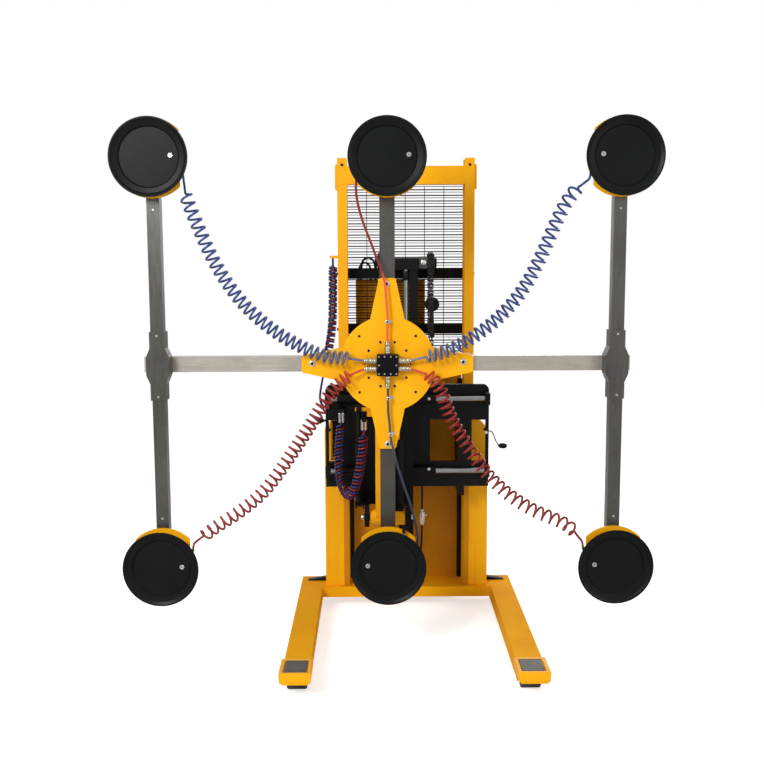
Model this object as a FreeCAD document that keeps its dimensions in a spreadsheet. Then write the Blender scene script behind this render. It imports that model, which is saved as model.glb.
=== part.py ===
import FreeCAD, Part
import math
import os
import re
import Sketcher
from FreeCAD import Placement, Rotation, Vector

# Glass panel lifter: a powered straddle stacker whose carriage holds a rotating
# and tilting head with six vacuum pads. X runs across the machine, -Y points to
# the pads, +Z up. X = 0 is the head's turning axis, which at rest stands 91 mm to
# the left of the mast's middle, because the head can be shifted sideways.

doc = FreeCAD.newDocument("panel_lifter")
dims = doc.addObject("Spreadsheet::Sheet", "dims")
cells = {}
row = 0


def enter(heading, **values):
    global row
    row += 1
    dims.set("A%d" % row, heading)
    for name, number in values.items():
        row += 1
        dims.set("A%d" % row, name.replace("_", " "))
        dims.set("B%d" % row, str(number))
        dims.setAlias("B%d" % row, name)
        cells[name] = float(number)


enter("head", hub_height=1195, pitch_across=900, pitch_up=800, pad_radius=150, lip_plane=-555)
enter("plate", plate_front=-445, plate_thick=12, disc_radius=190, arm_reach=340, arm_root=67, arm_tip=32)
enter("arms", tube_side=60, tube_wall=4, tube_middle=-397, tube_inner=150, tube_outer=966,
      socket_side=72, socket_bore=61, socket_start=96, socket_end=335)
enter("cross arms", cross_side=50, cross_wall=3, cross_middle=-465, sleeve_side=60, sleeve_long=270,
      sleeve_bulge=90)
enter("backing", backing_front=-500, backing_thick=10, backing_radius=152, backing_flats=216)
enter("pad", pad_back=-508, ball_radius=12, ball_middle=-518)
enter("mast", mast_x=91, mast_half=305, column_wide=43, column_front=130, column_deep=100,
      column_web=10, mast_foot=100, mast_top=2050, beam_low=1935, beam_high=2015,
      brace_wide=68, brace_top=905, tie_high=1516, tie_low=1263, tie_tall=45)
enter("straddle legs", legs_half=490, leg_wide=100, leg_low=30, leg_high=100, leg_back=270,
      foot_start=-731, foot_tip=-900, foot_low=64, window_y=-818, wheel_y=-778, wheel_radius=40, wheel_wide=75,
      axle_radius=10)
enter("carriage", plate_half=360, plate_low=604, plate_high=1060, carriage_front=-25, carriage_thick=20,
      rod_radius=12.5, rod_y=-52, rod_high=1000, rod_low=680, side_half=253, side_thick=25)
enter("lift", jack_y=180, jack_radius=34, jack_top=1180, ram_radius=12.5, pulley_z=1588,
      pulley_radius=36, chain_offset=112, chain_wide=25, chain_thick=11)
enter("tilt", tilt_y=-290, tilt_z=535, eye_y=-250, eye_z=985, base_y=-150, base_z=560, actuator_x=-118)
enter("hood", hood_half=262, hood_front=262, hood_rear=640, hood_top=1085, cabinet_left=-138,
      cabinet_right=184, cabinet_top=1510)
enter("drive", drive_x=31, drive_y=745, drive_radius=115, drive_wide=75, castor_x=285, castor_y=700,
      castor_radius=62.5, tiller_z=622, tiller_y=800, tiller_back=900)
enter("hoses", hose=8, curl_outer=52, hose_plane=-490)
enter("guard", wire=3, wire_pitch_up=25.4, wire_pitch_across=88)
doc.recompute()



def bind(expression):
    def prefix(word):
        return "dims." + word.group(0) if word.group(0) in cells else word.group(0)
    return re.sub(r"[a-z_]+", prefix, str(expression))


def num(expression):
    return float(dims.evalExpression(bind(expression)))


# Primitives, each bound to the sheet

def box(name, x, y, z):
    piece = doc.addObject("Part::Box", name)
    for size, axis, (low, high) in zip(("Length", "Width", "Height"), "xyz", (x, y, z)):
        piece.setExpression(size, bind("(%s) - (%s)" % (high, low)))
        piece.setExpression("Placement.Base." + axis, bind(low))
    return piece


def rod(name, axis, first, second, radius, low, high):
    """A round bar along an axis; first and second are its other two coordinates, in X, Y, Z order."""
    piece = doc.addObject("Part::Cylinder", name)
    piece.setExpression("Radius", bind(radius))
    piece.setExpression("Height", bind("(%s) - (%s)" % (high, low)))
    turn = {"x": Rotation(Vector(0, 1, 0), 90), "y": Rotation(Vector(1, 0, 0), -90), "z": Rotation()}
    piece.Placement = Placement(Vector(), turn[axis])
    others = [a for a in "xyz" if a != axis]
    for a, e in ((axis, low), (others[0], first), (others[1], second)):
        piece.setExpression("Placement.Base." + a, bind(e))
    return piece


def join(name, pieces):
    whole = doc.addObject("Part::MultiFuse", name)
    whole.Shapes = pieces
    whole.Refine = True
    return whole


def cut(name, base, tool):
    whole = doc.addObject("Part::Cut", name)
    whole.Base = base
    whole.Tool = tool
    whole.Refine = True
    return whole


# Part design helpers

pockets = []


def new_body(name):
    body = doc.addObject("PartDesign::Body", name)
    return body


def new_sketch(body, plane, low, high):
    """A sketch on an origin plane, moved so that a pad along its normal runs between low and high."""
    sketch = body.newObject("Sketcher::SketchObject", body.Name + "_sketch")
    sketch.AttachmentSupport = [([f for f in body.Origin.OriginFeatures if f.Role == plane][0], "")]
    sketch.MapMode = "FlatFace"
    start = "-(%s)" % high if plane == "XZ_Plane" else low
    sketch.setExpression("AttachmentOffset.Base.z", bind(start))
    return sketch


def fix(sketch, element, point, u, v):
    for kind, axis, e in (("DistanceX", -2, u), ("DistanceY", -1, v)):
        if str(e) == "0":
            sketch.addConstraint(Sketcher.Constraint("PointOnObject", element, point, axis))
        else:
            where = sketch.addConstraint(Sketcher.Constraint(kind, -1, 1, element, point, num(e)))
            sketch.setExpression("Constraints[%d]" % where, bind(e))


def outline(sketch, corners):
    points = [Vector(num(u), num(v), 0) for u, v in corners]
    first = sketch.GeometryCount
    count = len(points)
    for i in range(count):
        sketch.addGeometry(Part.LineSegment(points[i], points[(i + 1) % count]), False)
    for i in range(count):
        sketch.addConstraint(Sketcher.Constraint("Coincident", first + i, 2, first + (i + 1) % count, 1))
    for i, (u, v) in enumerate(corners):
        fix(sketch, first + i, 1, u, v)


def circle(sketch, u, v, radius):
    where = sketch.addGeometry(Part.Circle(Vector(num(u), num(v), 0), Vector(0, 0, 1), num(radius)), False)
    fix(sketch, where, 3, u, v)
    size = sketch.addConstraint(Sketcher.Constraint("Radius", where, num(radius)))
    sketch.setExpression("Constraints[%d]" % size, bind(radius))


def rectangle(u, v):
    return [(u[0], v[0]), (u[1], v[0]), (u[1], v[1]), (u[0], v[1])]


def finish_feature(body, feature, sketch, low, high):
    feature.Profile = sketch
    feature.setExpression("Length", bind("(%s) - (%s)" % (high, low)))
    body.Tip = feature
    return feature


def pad(body, plane, low, high, corners=None, circles=()):
    sketch = new_sketch(body, plane, low, high)
    if corners:
        outline(sketch, corners)
    for c in circles:
        circle(sketch, *c)
    return finish_feature(body, body.newObject("PartDesign::Pad", body.Name + "_pad"), sketch, low, high)


def pocket(body, plane, low, high, corners=None, circles=()):
    sketch = new_sketch(body, plane, low, high)
    if corners:
        outline(sketch, corners)
    for c in circles:
        circle(sketch, *c)
    feature = body.newObject("PartDesign::Pocket", body.Name + "_pocket")
    feature.Reversed = True
    pockets.append((feature, body))
    return finish_feature(body, feature, sketch, low, high)


def around(body, feature, axis, count):
    """Repeats a feature round one of the body's origin axes."""
    pattern = body.newObject("PartDesign::PolarPattern", body.Name + "_pattern")
    pattern.Originals = [feature]
    pattern.Axis = ([f for f in body.Origin.OriginFeatures if f.Role == axis][0], [""])
    pattern.Angle = 360
    pattern.Occurrences = count
    body.Tip = pattern
    return pattern


def rounded(body, radius, wanted):
    """Rounds the edges of the body's tip that the test picks."""
    doc.recompute()
    base = body.Tip
    names = ["Edge%d" % (i + 1) for i, e in enumerate(base.Shape.Edges) if wanted(e)]
    fillet = body.newObject("PartDesign::Fillet", body.Name + "_fillet")
    fillet.Base = (base, names)
    fillet.Radius = radius
    body.Tip = fillet
    return fillet


def along(edge, axis):
    if len(edge.Vertexes) != 2:
        return False
    run = edge.Vertexes[1].Point - edge.Vertexes[0].Point
    return run.Length > 0 and abs(abs(run.normalize().dot(axis)) - 1) < 1e-6


def turned(name, axis, corners):
    """A body turned about X or Y from a half section of (place on the axis, radius)."""
    body = new_body(name)
    sketch = new_sketch(body, "XY_Plane", 0, 0)
    if axis == "x":
        outline(sketch, corners)
    else:
        outline(sketch, [(radius, place) for place, radius in corners])
    turn = body.newObject("PartDesign::Revolution", name + "_turn")
    turn.Profile = sketch
    turn.ReferenceAxis = (sketch, ["H_Axis" if axis == "x" else "V_Axis"])
    turn.Angle = 360
    body.Tip = turn
    return body


def place(piece, x, y, z):
    for axis, e in zip("xyz", (x, y, z)):
        piece.setExpression("Placement.Base." + axis, bind(e))
    return piece


nodes = {}


def node(name, piece):
    piece.Label = name
    nodes[name] = piece
    return piece


X = Vector(1, 0, 0)
Y = Vector(0, 1, 0)
Z = Vector(0, 0, 1)
sides = (("left", "-"), ("right", "+"))

# Straddle legs: box section, open at the rear, with a bevelled shoe over the load roller

for side, sign in sides:
    middle = "mast_x %s (legs_half - leg_wide / 2)" % sign
    leg = new_body("leg_" + side)
    low, high = "%s - leg_wide / 2" % middle, "%s + leg_wide / 2" % middle
    pad(leg, "YZ_Plane", low, high, [
        ("leg_back", "leg_low"), ("leg_back", "leg_high"), ("foot_tip + 30", "leg_high"),
        ("foot_tip", "leg_high - 28"), ("foot_tip", "foot_low"), ("foot_start - 14", "foot_low"),
        ("foot_start", "leg_low")])
    pocket(leg, "XZ_Plane", "foot_start + 30", "leg_back", rectangle(
        ("%s + 6" % low, "%s - 6" % high), ("leg_low + 6", "leg_high - 6")))
    pocket(leg, "XY_Plane", "leg_high - 6", "leg_high + 20", rectangle(
        ("%s + 5" % low, "%s - 5" % high), ("window_y - 49", "window_y + 49")))
    pocket(leg, "XY_Plane", "0", "leg_high - 12", rectangle(
        ("%s + 5" % low, "%s - 5" % high), ("wheel_y - 46", "wheel_y + 46")))
    for start, end in ((low, low + " + 5"), (high + " - 5", high)):
        pad(leg, "YZ_Plane", start, end, [
            ("wheel_y - 26", "foot_low + 2"), ("wheel_y + 40", "foot_low + 2"), ("wheel_y + 46", "leg_low + 4"),
            ("wheel_y + 12", "wheel_radius - 13"), ("wheel_y - 12", "wheel_radius - 13")])
    pad(leg, "YZ_Plane", low, high, circles=[("wheel_y", "wheel_radius", "axle_radius")])
    node("leg_" + side, leg)

    wheel = turned("load_wheel_" + side, "x", [
        ("-wheel_wide / 2", "axle_radius + 0.05"), ("wheel_wide / 2", "axle_radius + 0.05"),
        ("wheel_wide / 2", "wheel_radius - 4"), ("wheel_wide / 2 - 4", "wheel_radius"),
        ("4 - wheel_wide / 2", "wheel_radius"), ("-wheel_wide / 2", "wheel_radius - 4")])
    place(wheel, middle, "wheel_y", "wheel_radius")
    node("load_wheel_" + side, wheel)

# Base: the crossbar between the legs, the rear beam, the mast's seat and the hood's floor

inner_left = "mast_x - legs_half + leg_wide"
inner_right = "mast_x + legs_half - leg_wide"
node("base_frame", join("base_frame", [
    box("crossbar", (inner_left, inner_right), (105, 155), (52, "leg_high")),
    box("rear_beam", (inner_left, inner_right), (210, "leg_back"), (36, "leg_high")),
    box("mast_seat", (inner_left, inner_right), (150, 215), (88, "leg_high")),
    box("hood_floor", ("mast_x - hood_half", "mast_x + hood_half"), (262, "hood_rear - 40"), (88, "leg_high")),
    box("drive_arch", ("drive_x - 110", "castor_x + 62"), ("hood_rear - 60", "hood_rear - 36"), (88, 300)),
    box("drive_roof", ("drive_x - 110", "drive_x + 110"), ("hood_rear - 60", "drive_y + 76"), (262, 300)),
    box("castor_roof", ("castor_x - 62", "castor_x + 62"), ("hood_rear - 60", "castor_y + 60"), (184, 200))]))
nodes["base_frame"].Label = "base_frame_blank"
bearing_hole = rod("drive_bearing_hole", "z", "drive_x", "drive_y", "60 + 0.05", 250, 320)
node("base_frame", cut("base_frame_cut", nodes["base_frame"], bearing_hole))

# Mast: two channel columns open to the middle, each with its side brace and head plate

for side, sign in sides:
    back = "+" if sign == "-" else "-"
    outer = "mast_x %s mast_half" % sign
    inner = "%s %s column_wide" % (outer, back)
    web = "%s %s column_web" % (outer, back)
    column = new_body("mast_column_" + side)
    front, rear = "column_front", "column_front + column_deep"
    pad(column, "XY_Plane", "mast_foot", "mast_top", [
        (outer, front), (inner, front), (inner, "column_front + 10"), (web, "column_front + 10"),
        (web, "%s - 10" % rear), (inner, "%s - 10" % rear), (inner, rear), (outer, rear)])
    pad(column, "XZ_Plane", "column_front", "column_front + 110", [
        ("%s %s 1" % (outer, back), "mast_foot"), ("%s %s 1" % (outer, back), "brace_top"),
        (outer, "brace_top"), ("%s %s brace_wide" % (outer, sign), "brace_top - 70"),
        ("%s %s brace_wide" % (outer, sign), "mast_foot")])
    pad(column, "XZ_Plane", "column_front + 10", "column_front + 90", [
        ("%s %s 1" % (outer, back), 1910), ("%s %s 10" % (outer, sign), 1916),
        ("%s %s 10" % (outer, sign), 2019), ("%s %s 1" % (outer, back), 2025)])
    if side == "left":
        pad(column, "XZ_Plane", 166, 190, rectangle(("%s - 38" % outer, "%s + 1" % outer), (1610, 1622)))
    node("mast_column_" + side, column)

node("mast_top_beam", box("mast_top_beam", (
    "mast_x - mast_half + column_wide", "mast_x + mast_half - column_wide"),
    ("column_front", "column_front + 60"), ("beam_low", "beam_high")))

# Guard: two cross ties on the columns' backs and one welded wire net between the columns

net_low, net_high = 1100.0, 1932.0
net_half = cells["mast_half"] - 30
middle_x = cells["mast_x"]
net_y = cells["column_front"] + cells["column_deep"] + 15


def loop_xz(x0, x1, z0, z1, y):
    return Part.makePolygon([Vector(x0, y, z0), Vector(x1, y, z0), Vector(x1, y, z1), Vector(x0, y, z1),
                             Vector(x0, y, z0)])


half_wire = cells["wire"] / 2
across = cells["wire_pitch_across"]
upward = cells["wire_pitch_up"]
columns = 6
rows = int((net_high - net_low) / upward)
gaps = []
for i in range(columns):
    for j in range(rows):
        x0 = middle_x + (i - columns / 2) * across + half_wire
        z0 = net_high - (j + 1) * upward + half_wire
        gaps.append(loop_xz(x0, x0 + across - 2 * half_wire, z0, z0 + upward - 2 * half_wire, net_y))
edge_x = columns / 2 * across + half_wire
frame_wire = loop_xz(middle_x - edge_x, middle_x + edge_x, net_high - rows * upward - half_wire,
                     net_high + half_wire, net_y)
net = doc.addObject("Part::Feature", "guard_net")
net.Shape = Part.makeFace([frame_wire] + gaps, "Part::FaceMakerBullseye").extrude(Vector(0, cells["wire"], 0))
tie_back = "column_front + column_deep"
ties = [box("tie_" + name, ("mast_x - mast_half", "mast_x + mast_half"), (tie_back, tie_back + " + 15"),
            (low, low + " + tie_tall")) for name, low in (("high", "tie_high"), ("low", "tie_low"))]
anchors = [box("chain_anchor_" + side, ("mast_x %s chain_offset - 15" % sign, "mast_x %s chain_offset + 15" % sign),
               ("jack_y + pulley_radius", tie_back), ("tie_low", "tie_low + tie_tall")) for side, sign in sides]
node("mesh_guard", join("mesh_guard", [net] + ties + anchors))

# Lift: one jack in the middle, its ram lifting a crosshead with two chain wheels

barrel = rod("jack_barrel", "z", "mast_x", "jack_y", "jack_radius", "mast_foot", "jack_top")
collar = rod("jack_collar", "z", "mast_x", "jack_y", "jack_radius + 8", "jack_top - 45", "jack_top - 5")
foot = box("jack_foot", ("mast_x - 55", "mast_x + 55"), ("jack_y - 55", "jack_y + 45"), ("mast_foot", "mast_foot + 20"))
bore = rod("jack_bore", "z", "mast_x", "jack_y", "ram_radius + 0.05", "mast_foot + 60", "jack_top + 5")
node("lift_cylinder", cut("lift_cylinder", join("jack_blank", [barrel, collar, foot]), bore))
node("piston_rod", rod("piston_rod", "z", "mast_x", "jack_y", "ram_radius", "mast_foot + 220", "pulley_z - 30"))
head_box = box("crosshead_box", ("mast_x - 64", "mast_x + 64"), ("jack_y - 30", "jack_y + 30"),
               ("pulley_z - 30", "pulley_z + 22"))
head_axle = rod("crosshead_axle", "x", "jack_y", "pulley_z", 14, "mast_x - chain_offset - 28",
                "mast_x + chain_offset + 28")
keepers = [rod("keeper_" + side, "x", "jack_y", "pulley_z", 22, "mast_x %s (chain_offset + 22) - 5" % sign,
               "mast_x %s (chain_offset + 22) + 5" % sign) for side, sign in sides]
guide = box("guide_bar", (106, 146), ("jack_y - 15", "jack_y + 15"), (1290, "pulley_z - 25"))
node("crosshead", join("crosshead", [head_box, head_axle, guide] + keepers))

wheels = []
for side, sign in sides:
    spool = turned("chain_wheel_" + side, "x", [
        (-16, "14 + 0.05"), (16, "14 + 0.05"), (16, "pulley_radius + 6"), (13, "pulley_radius + 6"),
        (13, "pulley_radius - 0.4"), (-13, "pulley_radius - 0.4"), (-13, "pulley_radius + 6"), (-16, "pulley_radius + 6")])
    wheels.append(place(spool, "mast_x %s chain_offset" % sign, "jack_y", "pulley_z"))
node("chain_pulleys", join("chain_pulleys", wheels))

strands = []
for side, sign in sides:
    edge = ("mast_x %s chain_offset - chain_wide / 2" % sign, "mast_x %s chain_offset + chain_wide / 2" % sign)
    reach = ("jack_y - pulley_radius - chain_thick", "jack_y - pulley_radius")
    strands.append(box("chain_front_" + side, edge, reach, (1010, "pulley_z")))
    behind = ("jack_y + pulley_radius", "jack_y + pulley_radius + chain_thick")
    strands.append(box("chain_back_" + side, edge, behind, ("tie_low + tie_tall", "pulley_z")))
    ring = rod("chain_ring_" + side, "x", "jack_y", "pulley_z", "pulley_radius + chain_thick", *edge)
    hole = rod("chain_hole_" + side, "x", "jack_y", "pulley_z", "pulley_radius", edge[0] + " - 1", edge[1] + " + 1")
    under = box("chain_under_" + side, (edge[0] + " - 1", edge[1] + " + 1"), ("jack_y - 60", "jack_y + 60"),
                ("pulley_z - 60", "pulley_z"))
    strands.append(cut("chain_arc_" + side, cut("chain_full_" + side, ring, hole), under))
node("lift_chains", join("lift_chains", strands))

# Carriage: a windowed front plate, two side plates with guide rollers and the chain brackets

plate = new_body("carriage_plate")
pad(plate, "XZ_Plane", "carriage_front", "carriage_front + carriage_thick", rectangle(
    ("mast_x - plate_half", "mast_x + plate_half"), ("plate_low", "plate_high")))
rounded(plate, 28, lambda e: along(e, Y) and e.Vertexes[0].Z > 1000)
for side, sign in sides:
    pocket(plate, "XZ_Plane", "carriage_front", "carriage_front + carriage_thick", rectangle(
        ("mast_x %s 101" % sign, "mast_x %s 226" % sign), (716, 905)))
    pocket(plate, "XZ_Plane", "carriage_front", "carriage_front + carriage_thick", rectangle(
        ("mast_x %s 284" % sign, "mast_x %s 346" % sign), (716, 902)))
carriage_parts = [plate]
for side, sign in sides:
    face = "mast_x %s (side_half - side_thick / 2)" % sign
    web_x = ("%s - side_thick / 2" % face, "%s + side_thick / 2" % face)
    carriage_parts.append(box("carriage_side_" + side, web_x, ("carriage_front + 10", 214), (560, 1000)))
    for name, z in (("low", 610), ("high", 945)):
        stub = "mast_x %s 245" % sign
        tip = "mast_x %s 268" % sign
        low, high = (tip, stub) if sign == "-" else (stub, tip)
        carriage_parts.append(rod("stub_%s_%s" % (side, name), "x", "jack_y", z, 18, low, high))
        tip_far = "mast_x %s 294" % sign
        low, high = (tip_far, tip) if sign == "-" else (tip, tip_far)
        carriage_parts.append(rod("roller_%s_%s" % (side, name), "x", "jack_y", z, 39.2, low, high))
    hanger = ("mast_x %s chain_offset - 14" % sign, "mast_x %s chain_offset + 14" % sign)
    carriage_parts.append(box("chain_hanger_" + side, hanger,
                              ("carriage_front + 10", "jack_y - pulley_radius + 2"), (960, 1010)))
    lug = ("mast_x - plate_half", "mast_x - plate_half + 22") if sign == "-" else \
        ("mast_x + plate_half - 22", "mast_x + plate_half")
    for name, z in (("low", "rod_low"), ("high", "rod_high")):
        carriage_parts.append(box("rod_lug_%s_%s" % (side, name), lug, ("rod_y - 24", "carriage_front + 2"),
                                  (z + " - 26", z + " + 26")))
carriage_parts.append(box("loop_bracket", (-208, -184), (-112, "carriage_front + 2"), (950, 964)))
blank = join("carriage_blank", carriage_parts)
knob_hole = rod("knob_hole", "x", "carriage_front + carriage_thick / 2", 900, "5 + 0.05",
                "mast_x - plate_half - 1", "mast_x - plate_half + 16")
rod_holes = join("rod_holes", [knob_hole] + [rod("rod_hole_" + name, "x", "rod_y", z, "rod_radius", "mast_x - plate_half + 6",
                                   "mast_x + plate_half - 6") for name, z in (("low", "rod_low"), ("high", "rod_high"))])
node("carriage_frame", cut("carriage_frame", blank, rod_holes))
node("slide_rods", join("slide_rods", [
    rod("slide_rod_" + name, "x", "rod_y", z, "rod_radius", "mast_x - plate_half + 6", "mast_x + plate_half - 6")
    for name, z in (("low", "rod_low"), ("high", "rod_high"))]))

# Side shift: a back plate with four bushed blocks on the rods and the lower ears of the tilt hinge

shift = [box("shift_plate", (-112, 112), (-108, -84), (545, 1045))]
for sign in ("-", "+"):
    ends = (-110, -55) if sign == "-" else (55, 110)
    for name, z in (("low", "rod_low"), ("high", "rod_high")):
        shift.append(box("shift_block_%s%s" % (name, ends[1]), ends, (-86, "rod_y + 22"), (z + " - 30", z + " + 30")))
        if sign == "-":
            shift.append(rod("long_bush_" + name, "x", "rod_y", z, "rod_radius + 7.5", -216, 215))
    ear = (-96, -76) if sign == "-" else (76, 96)
    shift.append(box("tilt_ear%s" % ear[1], ear, ("tilt_y - 34", -100), ("tilt_z - 34", "tilt_z + 60")))
shift.append(rod("tilt_pin", "x", "tilt_y", "tilt_z", 15, -98, 98))
shift.append(box("loop_arm", (-106, -87), (-304, -100), (940, 954)))
for low, high in (("actuator_x - 19", "actuator_x - 12.5"), ("actuator_x + 12.5", "actuator_x + 19")):
    shift.append(box("base_ear", (low, high), ("base_y - 22", -100), ("base_z - 20", "base_z + 26")))
shift.append(box("base_bridge", ("actuator_x - 19", -90), (-112, -84), ("base_z - 20", "base_z + 26")))
shift.append(rod("base_pin", "x", "base_y", "base_z", 8, "actuator_x - 21", "actuator_x + 21"))
shift_blank = join("shift_blank", shift)
bushes = join("bush_holes", [rod("bush_" + name, "x", "rod_y", z, "rod_radius + 0.05", -220, 220)
                             for name, z in (("low", "rod_low"), ("high", "rod_high"))])
node("sideshift_body", cut("sideshift_body", shift_blank, bushes))
knob = turned("sideshift_knob", "x", [(-34, 0), (-34, 9), (-31, 14), (-20, 14), (-17, 9), (-9, 9), (-9, 5), (13, 5), (13, 0)])
node("sideshift_knob", place(knob, "mast_x - plate_half", "carriage_front + carriage_thick / 2", 900))

# Tilt post: the bearing housing at the top, the hinge barrel at the foot and the actuator's pin

housing = rod("bearing_housing", "y", 0, "hub_height", 98, -330, -250)
post = box("post", (-50, 50), (-330, -270), ("tilt_z + 10", "hub_height"))
barrel = rod("tilt_barrel", "x", "tilt_y", "tilt_z", 33, -72, 72)
eye_arm = box("eye_arm", (-84, -40), ("eye_y - 44", "eye_y + 20"), ("eye_z - 24", "eye_z + 24"))
eye_pin = rod("eye_pin", "x", "eye_y", "eye_z", 9, "actuator_x - 16", -78)
post_blank = join("post_blank", [housing, post, barrel, eye_arm, eye_pin])
post_holes = join("post_holes", [
    rod("turn_bore", "y", 0, "hub_height", "42 + 0.05", -340, -240),
    rod("tilt_bore", "x", "tilt_y", "tilt_z", "15 + 0.05", -80, 80)])
node("tilt_post", cut("tilt_post", post_blank, post_holes))

# Tilt actuator: a motor and screw barrel on the side shift, a chromed rod up to the post.
# Its upper eye is the opened pivot of the tilt linkage, with 2 mm of room round the pin.

lean = math.degrees(math.atan2(cells["base_y"] - cells["eye_y"], cells["eye_z"] - cells["base_z"]))
span = math.hypot(cells["base_y"] - cells["eye_y"], cells["eye_z"] - cells["base_z"])


def leaned(name, shape):
    """Local z runs from the lower pivot to the upper eye."""
    piece = doc.addObject("Part::Feature", name)
    piece.Shape = shape
    piece.Placement = Placement(Vector(cells["actuator_x"], cells["base_y"], cells["base_z"]), Rotation(Vector(1, 0, 0), lean))
    return piece


def bar(radius, low, high, x=0, y=0):
    return Part.makeCylinder(radius, high - low, Vector(x, y, low))


def pin_hole(radius, z):
    return Part.makeCylinder(radius, 60, Vector(-30, 0, z), Vector(1, 0, 0))


lower_eye = Part.makeCylinder(16, 22, Vector(-11, 0, 0), Vector(1, 0, 0))
barrel_shape = lower_eye.fuse([bar(11, 8, 37), bar(17, 36, 285), bar(22, 60, 105), bar(19, 34, 165, 0, -42),
                               Part.makeBox(30, 46, 34, Vector(-15, -40, 64))]).removeSplitter()
barrel_shape = barrel_shape.cut(pin_hole(8.05, 0)).cut(bar(9.05, 120, 290))
node("tilt_actuator_barrel", leaned("tilt_actuator_barrel", barrel_shape))
top_eye = Part.makeCylinder(17, 22, Vector(-11, 0, span), Vector(1, 0, 0))
rod_shape = top_eye.fuse(bar(9, 200, span - 12)).cut(pin_hole(11, span))
node("tilt_actuator_rod", leaned("tilt_actuator_rod", rod_shape))

# Head: a turning hub with four square sockets and, in front of them, the cut plate

hub_parts = [rod("hub_drum", "y", 0, "hub_height", 100, "plate_front + plate_thick", -331),
             rod("hub_shaft", "y", 0, "hub_height", 42, -332, -252)]
bores = []
for name, du, dv in (("left", -1, 0), ("right", 1, 0), ("top", 0, 1), ("bottom", 0, -1)):
    for store, side, start, extra in ((hub_parts, "socket_side", "socket_start - 30", 0),
                                      (bores, "socket_bore", "socket_start", 5)):
        reach = (start, "socket_end + %d" % extra)
        minus = ("-(socket_end + %d)" % extra, "-(%s)" % start)
        thick = ("-(%s) / 2" % side, "%s / 2" % side)
        x = reach if du > 0 else minus if du < 0 else thick
        z = reach if dv > 0 else minus if dv < 0 else thick
        z = ("hub_height + (%s)" % z[0], "hub_height + (%s)" % z[1])
        y = ("tube_middle - %s / 2" % side, "tube_middle + %s / 2" % side)
        store.append(box("%s_%s" % ("bore" if extra else "socket", name), x, y, z))
node("rotator_hub", cut("rotator_hub", join("hub_blank", hub_parts), join("socket_bores", bores)))

plate = new_body("head_plate")
pad(plate, "XZ_Plane", 0, "plate_thick", circles=[(0, 0, "disc_radius")])
arm = pad(plate, "XZ_Plane", 0, "plate_thick", [
    ("-arm_root", 130), ("-arm_root", 184), ("-arm_tip", "arm_reach"), ("arm_tip", "arm_reach"),
    ("arm_root", 184), ("arm_root", 130)])
around(plate, arm, "Y_Axis", 4)
doc.recompute()


def plate_corner(edge):
    if not along(edge, Y):
        return False
    r = math.hypot(edge.Vertexes[0].X, edge.Vertexes[0].Z)
    return r > 335


rounded(plate, 9, plate_corner)
hole = pocket(plate, "XZ_Plane", 0, "plate_thick", circles=[("158 * cos(45)", "158 * sin(45)", 5)])
around(plate, hole, "Y_Axis", 4)
hole = pocket(plate, "XZ_Plane", 0, "plate_thick", circles=[(92, 0, 4)])
around(plate, hole, "Y_Axis", 10)
place(plate, 0, "plate_front", "hub_height")
node("head_plate", plate)

block = new_body("manifold")
pad(block, "XZ_Plane", "plate_front - 45", "plate_front", rectangle(
    (-42.5, 42.5), ("hub_height - 42.5", "hub_height + 42.5")))
rounded(block, 5, lambda e: along(e, Y))
node("manifold", block)

fittings = []
port_y = "plate_front - 24"
for name, axis, first, second, out in (
        ("up", "z", 0, port_y, 1), ("down", "z", 0, port_y, -1),
        ("left_high", "x", port_y, "hub_height + 15", -1), ("left_low", "x", port_y, "hub_height - 15", -1),
        ("right_high", "x", port_y, "hub_height + 15", 1), ("right_low", "x", port_y, "hub_height - 15", 1)):
    centre = "hub_height" if axis == "z" else "0"
    steps = ((7, 42.5, 50), (11, 49, 58), (8, 57, 68), (10.5, 67, 76))
    for i, (radius, near, far) in enumerate(steps):
        low, high = (near, far) if out > 0 else (-far, -near)
        fittings.append(rod("fitting_%s_%d" % (name, i), axis, first, second, radius,
                            "%s + %s" % (centre, low), "%s + %s" % (centre, high)))
node("hose_fittings", join("hose_fittings", fittings))

# Arms: square tubes that slide out of the sockets; the side ones carry upright cross arms


def square_tube(name, axis, low, high, y, side, wall, other):
    """A hollow square tube along X or Z; other is its place on the remaining axis."""
    body = new_body(name)
    outer, inner = "(%s) / 2" % side, "((%s) / 2 - %s)" % (side, wall)
    plane = "YZ_Plane" if axis == "x" else "XY_Plane"
    for half, make in ((outer, pad), (inner, pocket)):
        depth = ("%s - %s" % (y, half), "%s + %s" % (y, half))
        wide = ("%s - %s" % (other, half), "%s + %s" % (other, half))
        make(body, plane, low, high, rectangle(depth, wide) if axis == "x" else rectangle(wide, depth))
    return body


node("arm_left", square_tube("arm_left", "x", "-tube_outer", "-tube_inner", "tube_middle", "tube_side",
                             "tube_wall", "hub_height"))
node("arm_right", square_tube("arm_right", "x", "tube_inner", "tube_outer", "tube_middle", "tube_side",
                              "tube_wall", "hub_height"))
node("arm_top", square_tube("arm_top", "z", "hub_height + tube_inner", "hub_height + pitch_up + 45",
                            "tube_middle", "tube_side", "tube_wall", 0))
node("arm_bottom", square_tube("arm_bottom", "z", "hub_height - pitch_up - 45", "hub_height - tube_inner",
                               "tube_middle", "tube_side", "tube_wall", 0))

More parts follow.
